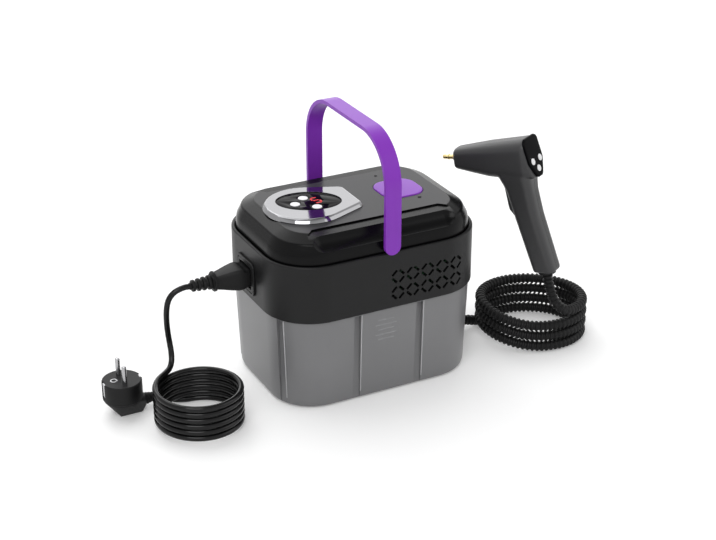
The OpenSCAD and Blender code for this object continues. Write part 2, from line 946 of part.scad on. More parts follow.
suction_foot_z = 14;
filter_z = 7;

// Quarter bend of a tube: starts at the origin along +X and ends along +Y
module bend(bend_r, outer, inner) {
    translate([0, bend_r, 0])
        rotate(-90)
            rotate_extrude(angle = 90)
                translate([bend_r, 0])
                    difference() {
                        circle(outer, $fn = 24);
                        circle(inner, $fn = 24);
                    }
}

// Straight tube along +X from the origin
module run(l, outer, inner) {
    rotate([0, 90, 0])
        difference() {
            cylinder(r = outer, h = l, $fn = 24);
            translate([0, 0, -1])
                cylinder(r = inner, h = l + 2, $fn = 24);
        }
}

// Tube with straight and bent stretches, turned in one plane and started along +X
module feed_run(outer, inner) {
    run(feed_run_l, outer, inner);
    translate([feed_run_l, 0, 0])
        bend(feed_bend, outer, inner);
    translate([feed_run_l + feed_bend, feed_bend, 0])
        rotate(90)
            run(feed_rise, outer, inner);
    translate([feed_run_l + feed_bend, feed_bend + feed_rise, 0])
        rotate(90)
            bend(feed_bend, outer, inner);
    translate([feed_run_l, 2 * feed_bend + feed_rise, 0])
        rotate(180)
            run(feed_seat, outer, inner);
}

tube_r = barb_r + hose_wall;
tube_bore = barb_r + press_gap;
feed_bend = 14;
feed_seat = 6;
feed_gap = 2;
feed_run_l = boiler_at[0] + boiler_size[0] / 2 + feed_seat - pump_x0 - pump_l;
feed_rise = boiler_at[1] - 12 - pump_y - 2 * feed_bend;

module suction_tube() {
    color([0.9, 0.9, 0.9])
        union() {
            translate([suction_at[0], suction_at[1], 0])
                tube_along_z(suction_foot_z, pump_z - suction_bend - suction_foot_z, tube_r, tube_bore);
            translate([suction_at[0], suction_at[1], pump_z - suction_bend])
                rotate([0, -90, -90])
                    bend(suction_bend, tube_r, tube_bore);
            translate([suction_at[0] + suction_bend, suction_at[1], pump_z])
                run(6, tube_r, tube_bore);
        }
}

module suction_filter() {
    color([0.1, 0.1, 0.1])
        translate([suction_at[0], suction_at[1], filter_z])
            difference() {
                cylinder(r = 8, h = 14);
                translate([0, 0, suction_foot_z - filter_z])
                    cylinder(r = tube_r + press_gap, h = 20);
                for (a = [0 : 45 : 135])
                    rotate(a)
                        translate([-10, -0.8, 1.5])
                            cube([20, 1.6, 3.5]);
            }
}

module feed_tube() {
    color([0.9, 0.9, 0.9])
        translate([pump_x0 + pump_l + feed_gap, pump_y, pump_z])
            feed_run(tube_r, tube_bore);
}

// Steam tube from the boiler, through the band and down the hose cover to the gland
pipe_z = boiler_port_z;
steam_y = boiler_at[1] + 12;
steam_x0 = boiler_at[0] + boiler_size[0] / 2 + 2;
steam_x1 = body_w / 2 - 35;
steam_bend = 14;
drop_bend = 8;
drop_x = body_w / 2 + 4.5;
tube_seat = 2;
gland_z = 11;
steam_bore = barb_r + press_gap;

module steam_tube() {
    color([0.85, 0.85, 0.8])
        union() {
            translate([steam_x0, steam_y, pipe_z])
                run(steam_x1 - steam_x0, pipe_r, steam_bore);
            translate([steam_x1, steam_y, pipe_z])
                mirror([0, 1, 0])
                    bend(steam_bend, pipe_r, steam_bore);
            translate([steam_x1 + steam_bend, steam_y - steam_bend, pipe_z])
                rotate(-90)
                    run(steam_y - duct_y - 2 * steam_bend, pipe_r, steam_bore);
            translate([steam_x1 + steam_bend, duct_y + steam_bend, pipe_z])
                rotate(-90)
                    bend(steam_bend, pipe_r, steam_bore);
            translate([steam_x1 + 2 * steam_bend, duct_y, pipe_z])
                run(drop_x - drop_bend - steam_x1 - 2 * steam_bend, pipe_r, steam_bore);
            translate([drop_x - drop_bend, duct_y, pipe_z])
                rotate([-90, 0, 0])
                    bend(drop_bend, pipe_r, steam_bore);
            translate([drop_x, duct_y, 0])
                tube_along_z(gland_z + drop_bend, pipe_z - gland_z - 2 * drop_bend, pipe_r, steam_bore);
            translate([drop_x + drop_bend, duct_y, gland_z])
                rotate([90, 0, 180])
                    bend(drop_bend, pipe_r, steam_bore);
            translate([drop_x + drop_bend - eps, duct_y, gland_z])
                run(tube_seat, pipe_r, steam_bore);
        }
}

// Hose cover on the hose side, and its gland

cover_w = 36;
cover_out = body_w / 2 + 11;
cover_wall = 2.2;
cover_z0 = 2;
cover_z1 = 134;
cover_in = body_w / 2 - tank_inset + 0.8;

module hose_cover() {
    color([0.09, 0.09, 0.09])
        difference() {
            union() {
                translate([cover_in, duct_y - cover_w / 2, cover_z0])
                    cube([cover_out - cover_in, cover_w, seam_z - cover_z0]);
                translate([body_w / 2, duct_y - cover_w / 2, seam_z - eps])
                    cube([cover_out - body_w / 2, cover_w, cover_z1 - seam_z]);
            }
            translate([cover_in - 10, duct_y - cover_w / 2 + cover_wall, cover_z0 + cover_wall])
                cube([cover_out - cover_in + 10 - cover_wall, cover_w - 2 * cover_wall,
                    cover_z1 - cover_z0 - 2 * cover_wall]);
            translate([cover_out - 10, duct_y, gland_z])
                rotate([0, 90, 0])
                    cylinder(r = pipe_r + elbow_room, h = 20);
        }
}

gland_l = 8;
gland_x = cover_out;

module hose_gland() {
    color([0.07, 0.07, 0.07])
        translate([gland_x, duct_y, gland_z])
            rotate([0, 90, 0])
                difference() {
                    union() {
                        cylinder(r = 10, h = 3);
                        cylinder(r = 7.5, h = gland_l);
                    }
                    translate([0, 0, -1])
                        cylinder(r = pipe_r + press_gap, h = drop_x + drop_bend + tube_seat - gland_x + 1);
                    translate([0, 0, -1])
                        cylinder(r = pipe_r + 0.6, h = drop_x + drop_bend - gland_x + 1);
                    translate([0, 0, -1])
                        cylinder(r = hose_bore / 2, h = gland_l + 2);
                }
}

// Where the gun stands, pitched down and turned
gun_at = [179.4, -39.5, 209.1];
gun_pitch = 10.5;
gun_yaw = 121;

// Route of the hose: from the gland into the coil, round the coil and up into the grip
hose_coil_at = [201.5, -33];
hose_oval = 0.836;
hose_oval_deg = -27.3;
hose_pitch = hose_d + wind_gap;
hose_in_deg = 152;
hose_turn_deg = 1262;
hose_loop_rings = 24;
ribs_per_loop = 36;
lift_from = 230;
lift_span = 110;
function step_up(x) = let (c = max(0, min(1, x))) c * c * (3 - 2 * c);
// Each loop lies flat on the one below and steps up near its end
function hose_lift(turned) = hose_pitch * (floor(turned / 360) + step_up((turned % 360 - lift_from) / lift_span));
function hose_coil_steps(steps) = [for (k = [0 : steps])
    let (turned = hose_turn_deg * k / steps, a = hose_in_deg - turned,
        p = hose_coil_r * cos(a), q = hose_coil_r * hose_oval * sin(a))
    [hose_coil_at[0] + p * cos(hose_oval_deg) - q * sin(hose_oval_deg),
        hose_coil_at[1] + p * sin(hose_oval_deg) + q * cos(hose_oval_deg), hose_d / 2 + hose_lift(turned)]];
hose_coil_path = hose_coil_steps(2 * round(ribs_per_loop * hose_turn_deg / 360));
hose_coil_bore = hose_coil_steps(round(hose_loop_rings * hose_turn_deg / 360));
hose_lead_points = [[gland_x + gland_l, duct_y, gland_z], [140, 4, 10.8], [147, 4, 9], [154, 4.2, 6.9],
    [161, 5.6, 5.9], hose_coil_path[0]];
collar_at = [-10.4, 0, -barrel_z - 3];
grip_foot = gun_point(collar_at);
grip_up = unit(gun_point(collar_at + [0, 0, 10]) - grip_foot);
hose_riser_points = [hose_coil_path[len(hose_coil_path) - 1], [222.5, -80, 42.6], [212.5, -82.4, 45.6],
    [204.3, -80.2, 51.6], [200, -75.8, 60.5], grip_foot - hose_d * grip_up, grip_foot];
rib_depth = 1;

function ribbed(p) = [for (i = [0 : len(p) - 1])
    i == 0 || i == len(p) - 1 || i % 2 == 1 ? hose_d / 2 : hose_d / 2 - rib_depth];

module hose(path, bore_path) {
    color([0.06, 0.06, 0.06])
        hollow_sweep(path, ribbed(path), bore_path, hose_bore / 2, 8);
}

module hose_lead() { hose(spline(hose_lead_points, 4), spline(hose_lead_points, 2)); }
module hose_coil() { hose(hose_coil_path, hose_coil_bore); }
module hose_riser() { hose(spline(hose_riser_points, 4), spline(hose_riser_points, 2)); }

echo(hose_coil_gap = self_gap(hose_coil_bore, hose_loop_rings, hose_d));

// Steam gun, drawn with the barrel along +X and the grip down

head_half_w = 16;
grip_half_w = 12.5;
grip_round = 7.5;
tip_u = barrel_l - 14;
rear_u = -11.5;
head_foot = -21;

// Point of the gun's own frame in the shared frame
function gun_point(p) = gun_at + [
    cos(gun_yaw) * (cos(gun_pitch) * p[0] + sin(gun_pitch) * p[2]) - sin(gun_yaw) * p[1],
    sin(gun_yaw) * (cos(gun_pitch) * p[0] + sin(gun_pitch) * p[2]) + cos(gun_yaw) * p[1],
    cos(gun_pitch) * p[2] - sin(gun_pitch) * p[0]];

module gun_place() {
    translate(gun_at)
        rotate([0, gun_pitch, gun_yaw])
            children();
}

// Slice across the barrel
module head_slice(u, low, high, half_w, r) {
    translate([u, 0, 0])
        rotate([90, 0, 90])
            linear_extrude(eps)
                translate([0, (low + high) / 2])
                    round_rect(2 * half_w, high - low, r);
}

// Slice across the grip
module grip_slice(v, back, front, half_w, r) {
    translate([(back + front) / 2, 0, v])
        linear_extrude(eps)
            round_rect(front - back, 2 * half_w, r);
}

// Outer form of the gun, drawn in by a given amount
module gun_form(n) {
    hull($fn = 32) {
        head_slice(tip_u - n * 1.6, 0.8 - tip_r + n, tip_r - 0.8 - n, tip_r - 0.8 - n, tip_r - 1.6 - n, $fn = 32);
        head_slice(tip_u - 3 - n, -tip_r - 0.7 + n, tip_r + 0.6 - n, tip_r + 0.3 - n, tip_r - 0.8 - n, $fn = 32);
        head_slice(38, -18.3 + n, 18 - n, head_half_w - 0.5 - n, 13 - n, $fn = 32);
        head_slice(-4, head_foot + n, rear_r - 0.7 - n, head_half_w + 0.5 - n, 13 - n, $fn = 32);
        head_slice(rear_u + n, head_foot + 2 + n, rear_r - n, head_half_w - 1 - n, 11 - n, $fn = 32);
    }
    hull() {
        grip_slice(-8, -9 + n, 30 - n, grip_half_w - n, grip_round - n, $fn = 32);
        grip_slice(-31, -8 + n, 21.5 - n, grip_half_w - n, grip_round - n, $fn = 32);
        grip_slice(-62, -11.4 + n, 15.3 - n, grip_half_w - n, grip_round - n, $fn = 32);
    }
    hull() {
        grip_slice(-60, -11 + n, 15.8 - n, grip_half_w - n, grip_round - n, $fn = 32);
        grip_slice(4 - barrel_z + n, -22.5 + n, 2.2 - n, grip_half_w - 0.5 - n, grip_round - n, $fn = 32);
        grip_slice(-barrel_z + n, -21 + n, 0.7 - n, grip_half_w - 2 - n, grip_round - 1 - n, $fn = 32);
    }
}

gun_screw_at = [[34, -11, 13.2], [12, 15.5, 13], [5, -84, 9.7]];
gun_screw_r = 1.3;
screw_seat = 9;
nozzle_seat_r = 5;
trigger_low = -60;
trigger_high = -30;
trigger_half_w = 8;
panel_half_w = 15.5;
panel_low = -18.5;
panel_high = rear_r;
panel_round = 6;
panel_ledge = 2.5;
collar_r = 8;
lamp_u = -8.1;
lamp_v = -32;
lamp_y = 6;
lamp_r = 1.6;

// Shield outline of the rear panel: straight sides over a tapered foot
module shield(grow) {
    side = panel_half_w - panel_round;
    offset(r = panel_round + grow, $fn = 40)
        polygon([[-side, panel_high - panel_round], [side, panel_high - panel_round], [side, 0],
            [2.5, panel_low + panel_round], [-2.5, panel_low + panel_round], [-side, 0]]);
}

// Everything that both shells leave free
module gun_cutouts() {
    translate([tip_u - 30, 0, 0])
        rotate([0, 90, 0])
            cylinder(r = nozzle_seat_r + press_gap, h = 60);
    translate([rear_u - 5, 0, 0])
        rotate([90, 0, 90])
            linear_extrude(12)
                shield(-panel_ledge);
    translate([10, -trigger_half_w - gap, trigger_low - gap])
        cube([30, 2 * trigger_half_w + 2 * gap, trigger_high - trigger_low + 2 * gap]);
    translate(collar_at - [0, 0, 9])
        cylinder(r = collar_r + press_gap, h = 22);
    translate([lamp_u - 12, lamp_y, lamp_v])
        rotate([0, 90, 0])
            cylinder(r = lamp_r + press_gap, h = 16);
}

// One shell: the half on the side that the sign names
module gun_shell(side) {
    difference() {
        union() {
            difference() {
                gun_form(0);
                gun_form(gun_wall);
            }
            for (at = gun_screw_at)
                translate([at[0], 0, at[1]])
                    rotate([-side * 90, 0, 0])
                        cylinder(r = side > 0 ? 3.2 : 4.4, h = at[2]);
        }
        gun_cutouts();
        translate([-100, side > 0 ? -100 : 0, -200])
            cube([300, 100, 400]);
        for (at = gun_screw_at)
            translate([at[0], 0, at[1]])
                rotate([-side * 90, 0, 0])
                    if (side > 0)
                        translate([0, 0, -1])
                            cylinder(r = gun_screw_r + press_gap, h = 9);
                    else {
                        translate([0, 0, -1])
                            cylinder(r = gun_screw_r + gap, h = 40);
                        translate([0, 0, screw_seat])
                            cylinder(r = 2.9, h = 40);
                    }
    }
}

module gun_shell_left() {
    color([0.08, 0.08, 0.085])
        gun_place()
            gun_shell(1);
}

module gun_shell_right() {
    color([0.08, 0.08, 0.085])
        gun_place()
            gun_shell(-1);
}

module gun_screws() {
    color("silver")
        gun_place()
            for (at = gun_screw_at)
                translate([at[0], -screw_seat, at[1]])
                    rotate([90, 0, 0])
                        screw(2.5, 1.8, gun_screw_r, screw_seat + 7.5);
}

nozzle_out = 18;
nozzle_in_u = tip_u - 14;

module gun_nozzle() {
    color([0.72, 0.55, 0.28])
        gun_place()
            translate([nozzle_in_u, 0, 0])
                rotate([0, 90, 0])
                    rotate_extrude()
                        polygon([[1.2, 0], [nozzle_seat_r, 0], [nozzle_seat_r, 15.4], [nozzle_r + 1, 16.2],
                            [nozzle_r + 1, 19], [nozzle_r, 20], [nozzle_r, 13.2 + nozzle_out],
                            [nozzle_r - 0.8, 14 + nozzle_out], [1.2, 14 + nozzle_out]]);
}

module gun_nozzle_collar() {
    color([0.07, 0.07, 0.07])
        gun_place()
            translate([tip_u + eps, 0, 0])
                rotate([0, 90, 0])
                    rotate_extrude()
                        polygon([[nozzle_seat_r + press_gap, 0], [6.8, 0], [6.4, 1.2],
                            [nozzle_seat_r + press_gap, 1.2]]);
}

gun_pipe_r = 3;
gun_pipe_points = [collar_at + [0, 0, 11 + eps], collar_at + [0.2, 0, 19], [-8.6, 0, -90], [-5.8, 0, -66], [-3, 0, -42],
    [3, 0, -20], [14, 0, -5], [30, 0, 0], [56, 0, 0], [nozzle_in_u, 0, 0]];

module gun_steam_pipe() {
    path = spline(gun_pipe_points, 2);
    color([0.85, 0.85, 0.8])
        gun_place()
            hollow_sweep(path, constant(path, gun_pipe_r), path, 1.8, 8);
}

gun_panel_t = 2.4;
gun_button_travel = 1;
gun_button_at = [[7.8, -0.5], [-7.8, -0.5], [0, -9.5]];
gun_button_r = 3.4;
panel_posts = [[-8, panel_high - 7], [8, panel_high - 7]];
gun_board_u = rear_u + 9;

module gun_button_outline(grow) {
    circle(gun_button_r + grow, $fn = 32);
}

// Extrudes along +X of the gun's frame, with the outline's X across the gun and its Y upright
module along_u(u, l) {
    translate([u, 0, 0])
        rotate([90, 0, 90])
            linear_extrude(l)
                children();
}

module gun_panel() {
    color([0.04, 0.04, 0.04])
        gun_place()
            difference() {
                union() {
                    along_u(rear_u - gun_panel_t, gun_panel_t)
                        shield(-0.2);
                    for (at = panel_posts)
                        translate([rear_u - 1, at[0], at[1]])
                            rotate([0, 90, 0])
                                cylinder(r = 2.2, h = gun_board_u - rear_u + 1);
                }
                for (at = gun_button_at)
                    along_u(rear_u - 10, 20)
                        translate(at)
                            gun_button_outline(0.15);
            }
}

module gun_button(at) {
    color([0.93, 0.93, 0.93])
        gun_place() {
            along_u(rear_u - gun_panel_t - 0.9, gun_panel_t + 0.9 + 2.5)
                translate(at)
                    gun_button_outline(0);
            along_u(rear_u + 0.5, 1.4)
                translate(at)
                    gun_button_outline(0.6);
        }
}

module gun_left_button() { gun_button(gun_button_at[0]); }
module gun_right_button() { gun_button(gun_button_at[1]); }
module gun_lower_button() { gun_button(gun_button_at[2]); }

module gun_button_board() {
    color("darkgreen")
        gun_place() {
            along_u(gun_board_u, board_t)
                translate([0, (panel_low + panel_high) / 2])
                    round_rect(20, panel_high - panel_low - 11, 4);
            for (at = gun_button_at)
                along_u(rear_u + 2.5 + gun_button_travel + gap, gun_board_u - rear_u - 2.5 - gun_button_travel - gap + eps)
                    translate(at)
                        square(4, center = true);
        }
}

module gun_lamp() {
    color("lightgray")
        gun_place()
            translate([lamp_u, lamp_y, lamp_v])
                rotate([0, 90, 0]) {
                    cylinder(r = lamp_r, h = 5);
                }
}

trigger_front = [24, 20.7];
trigger_u = 12.4;
trigger_round = 1.5;
flange_low = -42;
flange_t_u = 1.6;
flange_out = 1.4;

module gun_trigger() {
    high = trigger_high - trigger_round;
    low = trigger_low + trigger_round;
    color([0.08, 0.08, 0.085])
        gun_place() {
            rotate([90, 0, 0])
                translate([0, 0, -trigger_half_w])
                    linear_extrude(2 * trigger_half_w)
                        offset(r = trigger_round, $fn = 24)
                            polygon([[trigger_u + trigger_round, low], [trigger_front[1] - trigger_round, low],
                                [trigger_front[0] - trigger_round, high], [trigger_u + trigger_round, high]]);
            translate([trigger_u, -trigger_half_w - flange_out, flange_low])
                cube([flange_t_u, 2 * (trigger_half_w + flange_out), trigger_high - 1 - flange_low]);
        }
}

module trigger_switch() {
    color([0.2, 0.2, 0.2])
        gun_place()
            translate([3.5, -grip_half_w + gun_wall, -48])
                cube([trigger_u - trigger_travel - gap - 3.5, 2 * (grip_half_w - gun_wall), 12]);
}

module gun_hose_collar() {
    color([0.07, 0.07, 0.07])
        gun_place()
            translate(collar_at)
                difference() {
                    union() {
                        cylinder(r = collar_r, h = 11);
                        cylinder(r = collar_r + 1.5, h = 2.9);
                    }
                    translate([0, 0, -1])
                        cylinder(r = hose_bore / 2, h = 20);
                }
}

// Each node on its own, or all of them

water_tank();
tank_gasket();
deck_plate();
deck_screws();
housing_band();
top_cover();
cover_screws();
carry_handle();
handle_pins();
panel_bezel();
display_window();
display_digit();
display_board();
rear_button();
left_button();
front_button();
filler_neck();
filler_cap();
cap_seal();
mains_inlet();
inlet_blades();
mains_connector();
mains_lead();
mains_coil();
mains_tail();
mains_plug();
plug_pins();
earth_clips();
boiler();
pump();
control_board();
suction_tube();
suction_filter();
feed_tube();
steam_tube();
hose_cover();
hose_gland();
hose_lead();
hose_coil();
hose_riser();
gun_shell_left();
gun_shell_right();
gun_screws();
gun_nozzle();
gun_nozzle_collar();
gun_steam_pipe();
gun_panel();
gun_left_button();
gun_right_button();
gun_lower_button();
gun_button_board();
gun_lamp();
gun_trigger();
trigger_switch();
gun_hose_collar();
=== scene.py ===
"""Looks of a canister steam cleaner with a hose gun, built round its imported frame."""

import math

import bpy
from bpy.props import FloatProperty, FloatVectorProperty, IntProperty, PointerProperty
from mathutils import Matrix, Vector


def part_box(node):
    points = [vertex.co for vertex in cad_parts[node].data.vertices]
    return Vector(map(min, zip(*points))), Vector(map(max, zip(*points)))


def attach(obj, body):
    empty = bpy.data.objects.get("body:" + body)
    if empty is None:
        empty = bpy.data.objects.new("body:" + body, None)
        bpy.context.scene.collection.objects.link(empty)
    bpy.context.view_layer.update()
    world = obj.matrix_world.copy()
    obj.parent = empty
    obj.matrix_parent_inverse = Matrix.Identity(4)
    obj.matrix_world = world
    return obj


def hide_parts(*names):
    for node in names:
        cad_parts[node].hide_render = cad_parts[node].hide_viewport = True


bl_info = {
    "name": "Steam Cleaner",
    "version": (1, 0, 0),
    "blender": (4, 5, 0),
    "location": "View3D > Sidebar > Steam",
    "description": "Builds the looks of a canister steam cleaner piece by piece",
    "category": "Object",
}

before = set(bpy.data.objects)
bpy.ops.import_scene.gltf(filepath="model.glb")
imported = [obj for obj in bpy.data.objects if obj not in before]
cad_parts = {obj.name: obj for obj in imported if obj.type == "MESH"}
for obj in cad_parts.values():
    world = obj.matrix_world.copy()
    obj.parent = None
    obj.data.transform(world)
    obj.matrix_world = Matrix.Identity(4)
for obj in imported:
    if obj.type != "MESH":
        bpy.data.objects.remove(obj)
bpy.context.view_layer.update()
MM = 0.001
BODY = "base"

# Middles of the display, the filler and the mains inlet, in millimetres
PANEL_X = -46.0
FILLER_X = 53.0
INLET_Y = 6.0
INLET_Z = 123.0


def length_field(name, description, value):
    return FloatProperty(name=name, description=description, default=value)


def colour_field(name, description, value):
    return FloatVectorProperty(name=name, description=description, subtype="COLOR", size=3, default=value)


class SteamSizes(bpy.types.PropertyGroup):
    """Sizes of the cleaner, in millimetres of the real object"""
    body_w: length_field("Body width", "Width along the long side", 230.0)
    body_d: length_field("Body depth", "Depth from the vents to the back", 168.0)
    body_r: length_field("Corner radius", "Radius of the upright corners", 52.0)
    seam_z: length_field("Seam height", "Height of the seam over the tank", 98.0)
    rim_z: length_field("Rim height", "Height of the band's rim", 159.0)
    top_z: length_field("Lid height", "Height of the lid's flat top", 185.5)
    pivot_z: length_field("Pivot height", "Height of the handle's pivots", 167.0)
    handle_h: length_field("Handle rise", "Rise of the handle over its pivots", 110.0)
    strap_w: length_field("Strap width", "Width of the handle's strap", 17.0)
    cord_d: length_field("Cord diameter", "Diameter of the mains cord", 6.0)
    hose_d: length_field("Hose diameter", "Diameter of the hose over its ribs", 11.4)
    rib_pitch: length_field("Rib pitch", "Distance between the hose's ribs", 4.9)
    corner_steps: IntProperty(name="Corner steps", description="Segments in an upright corner", default=16)


class SteamColours(bpy.types.PropertyGroup):
    """Base colours of the finishes"""
    purple: colour_field("Purple", "Handle and cap", (0.225, 0.033, 0.465))
    shell_black: colour_field("Shell black", "Band, inlet and collars", (0.0062, 0.0062, 0.0066))
    lid_black: colour_field("Lid black", "Glossy lid", (0.0024, 0.0024, 0.0027))
    gun_black: colour_field("Gun black", "Gun and trigger", (0.034, 0.034, 0.0355))
    smoke: colour_field("Smoke", "Tinted tank wall", (0.245, 0.245, 0.252))
    brass: colour_field("Brass", "Nozzle", (0.78, 0.62, 0.3))


def sizes():
    return bpy.context.scene.steam_sizes


def colours():
    return bpy.context.scene.steam_colours


# Finishes

def node(tree, kind, **values):
    """New shader node with constant inputs. Underscores stand for the spaces in their names."""
    made = tree.nodes.new("ShaderNode" + kind)
    for socket, value in values.items():
        made.inputs[socket.replace("_", " ")].default_value = value
    return made


def plastic(name, colour, roughness, grain, bump, drift=0.1, **sockets):
    """Moulded finish: a fine grain in the bump, slow changes of roughness and a slight change of tone."""
    found = bpy.data.materials.get(name)
    if found:
        return found
    material = bpy.data.materials.new(name)
    material.use_nodes = True
    tree = material.node_tree
    link = tree.links.new
    shader = tree.nodes["Principled BSDF"]
    place = node(tree, "TexCoord").outputs["Object"]
    fine = node(tree, "TexNoise", Scale=grain, Detail=3.0)
    slow = node(tree, "TexNoise", Scale=14.0, Detail=4.0)
    tone = node(tree, "ValToRGB")
    for element, share in zip(tone.color_ramp.elements, (1.0 - drift, 1.0 + drift)):
        element.color = tuple(min(1.0, c * share) for c in colour) + (1.0,)
    spread = node(tree, "MapRange", To_Min=roughness - 0.05, To_Max=roughness + 0.05)
    relief = node(tree, "Bump", Strength=bump, Distance=0.0002)
    link(place, fine.inputs["Vector"])
    link(place, slow.inputs["Vector"])
    link(slow.outputs["Fac"], tone.inputs["Fac"])
    link(slow.outputs["Fac"], spread.inputs["Value"])
    link(fine.outputs["Fac"], relief.inputs["Height"])
    link(tone.outputs["Color"], shader.inputs["Base Color"])
    link(spread.outputs["Result"], shader.inputs["Roughness"])
    link(relief.outputs["Normal"], shader.inputs["Normal"])
    for socket, value in sockets.items():
        shader.inputs[socket.replace("_", " ")].default_value = value
    return material


def paint_highlight_above(material, level, colour):
    """Paint a paler tone on the face above a height, a painted highlight for the light that face catches.
    Millimetres.
    """
    tree = material.node_tree
    link = tree.links.new
    base = tree.nodes["Principled BSDF"].inputs["Base Color"]
    apart = node(tree, "SeparateXYZ")
    step = node(tree, "MapRange", From_Min=(level - 0.2) * MM, From_Max=level * MM)
    mix = node(tree, "MixRGB", Color2=colour + (1.0,))
    link(node(tree, "TexCoord").outputs["Object"], apart.inputs["Vector"])
    link(apart.outputs["Z"], step.inputs["Value"])
    link(step.outputs["Result"], mix.inputs["Fac"])
    link(base.links[0].from_socket, mix.inputs["Color1"])
    link(mix.outputs["Color"], base)


def finish_of(kind):
    """The finish of that name, made once from its colour, roughness, grain, bump and other sockets."""
    tint = colours()
    metal = {"Metallic": 1.0}
    recipes = {
        "purple": ("purple_moulding", tint.purple, 0.34, 900, 0.1, {"Specular_IOR_Level": 0.29}),
        "satin": ("black_satin_plastic", tint.shell_black, 0.42, 1400, 0.22, {"Specular_IOR_Level": 0.24}),
        "gloss": ("black_gloss_plastic", tint.lid_black, 0.24, 1400, 0.1, {"Specular_IOR_Level": 0.12}),
        "piano": ("display_black", (0.003, 0.003, 0.0035), 0.09, 300, 0.01, {"Specular_IOR_Level": 0.03}),
        "gun": ("gun_black_plastic", tint.gun_black, 0.4, 1500, 0.2, {"Specular_IOR_Level": 0.45}),
        "smoke": ("smoky_tank", tint.smoke, 0.33, 500, 0.05, {"Transmission_Weight": 0.22, "IOR": 1.46}),
        # Pale finish of the ribs beside the tank's grooves: a painted highlight.
        "highlight_rib": ("tank_edge_plastic", (0.5, 0.5, 0.51), 0.3, 500, 0.05, {}),
        "mark": ("tank_mark_plastic", (0.29, 0.29, 0.3), 0.4, 500, 0.05, {}),
        "rubber": ("black_cord_rubber", (0.004, 0.004, 0.0043), 0.5, 1100, 0.3, {"Specular_IOR_Level": 0.24}),
        "cord": ("glossy_cord_vinyl", (0.003, 0.003, 0.0032), 0.18, 500, 0.05, {"Specular_IOR_Level": 0.26}),
        "chrome": ("chromed_bezel", (0.28, 0.28, 0.29), 0.07, 260, 0.03, metal),
        "steel": ("plated_steel", (0.4, 0.4, 0.41), 0.22, 700, 0.1, metal),
        "brass": ("turned_brass", tint.brass, 0.26, 800, 0.2, metal),
        "white": ("white_key_plastic", (0.86, 0.86, 0.87), 0.35, 700, 0.06, {}),
        "grey": ("grey_inner_plastic", (0.2, 0.2, 0.21), 0.5, 700, 0.2, {}),
        "board": ("board_lacquer", (0.03, 0.12, 0.05), 0.35, 400, 0.2, {}),
        "cast": ("cast_boiler", (0.55, 0.56, 0.57), 0.5, 600, 0.5, metal),
        "tube": ("clear_tube_silicone", (0.7, 0.7, 0.66), 0.35, 500, 0.1, {}),
        "lit": ("lit_red_segment", (0.6, 0.01, 0.012), 0.4, 500, 0.05,
                {"Emission_Color": (1.0, 0.02, 0.03, 1.0), "Emission_Strength": 0.35}),
    }
    *look, sockets = recipes[kind]
    return plastic(*look, **sockets)


# Small tools for modelling with Blender's own operators

def clear_selection():
    if bpy.context.object and bpy.context.object.mode != "OBJECT":
        leave_edit()
    bpy.ops.object.select_all(action="DESELECT")


def leave_edit():
    bpy.ops.object.mode_set(mode="OBJECT")


def take_all():
    bpy.ops.mesh.select_all(action="SELECT")


def edit_all():
    bpy.ops.object.mode_set(mode="EDIT")
    take_all()


def close_form():
    """Point all faces outwards and leave edit mode."""
    take_all()
    bpy.ops.mesh.normals_make_consistent(inside=False)
    leave_edit()


def choose(piece):
    clear_selection()
    piece.select_set(True)
    bpy.context.view_layer.objects.active = piece
    return piece


def settle(piece, kind, slot, replaced=(), body=BODY, sharp=35.0, even=False):
    """Apply the piece's place, smooth it, give it its finish and hang it on its body."""
    choose(piece)
    bpy.ops.object.transform_apply(location=True, rotation=True, scale=True)
    edit_all()
    bpy.ops.mesh.remove_doubles(threshold=0.000004)
    bpy.ops.mesh.normals_make_consistent(inside=False)
    leave_edit()
    bpy.ops.object.shade_smooth_by_angle(angle=math.radians(sharp))
    if even:
        weigh = piece.modifiers.new("Even", "WEIGHTED_NORMAL")
        weigh.keep_sharp = True
        apply_all(piece)
    piece.data.materials.clear()
    piece.data.materials.append(finish_of(kind))
    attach(piece, body)
    if replaced:
        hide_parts(*replaced)
    return piece


def name_active(name):
    piece = bpy.context.object
    piece.name = name
    piece.data.name = name
    return piece


def plate(name, w, d, r, steps, at=(0.0, 0.0, 0.0)):
    """Rounded rectangle lying flat, left in edit mode with its face selected. Millimetres."""
    clear_selection()
    bpy.ops.mesh.primitive_plane_add(size=1.0, location=[c * MM for c in at])
    piece = name_active(name)
    bpy.ops.object.transform_apply(location=True)
    edit_all()
    bpy.ops.transform.resize(value=(w * MM, d * MM, 1.0))
    if r > 0:
        bpy.ops.mesh.bevel(offset=r * MM, offset_type="OFFSET", segments=steps, affect="VERTICES",
                           profile=0.5)
    take_all()
    return piece


def rise(dz, inset=0.0):
    """Carry the selected face on by dz, drawn in by inset. Millimetres."""
    if abs(inset) < 1e-6:
        bpy.ops.mesh.extrude_region_move(TRANSFORM_OT_translate={"value": (0.0, 0.0, dz * MM)})
        return
    bpy.ops.mesh.inset(thickness=inset * MM, depth=0.0, use_even_offset=True)
    if abs(dz) > 1e-6:
        bpy.ops.transform.translate(value=(0.0, 0.0, dz * MM))


def climb(steps):
    for dz, inset in steps:
        rise(dz, inset)


def ring_wall(thick, height):
    """Turn the selected flat face into an open upright wall. Millimetres."""
    bpy.ops.mesh.inset(thickness=thick * MM, depth=0.0)
    bpy.ops.mesh.delete(type="FACE")
    take_all()
    rise(height)


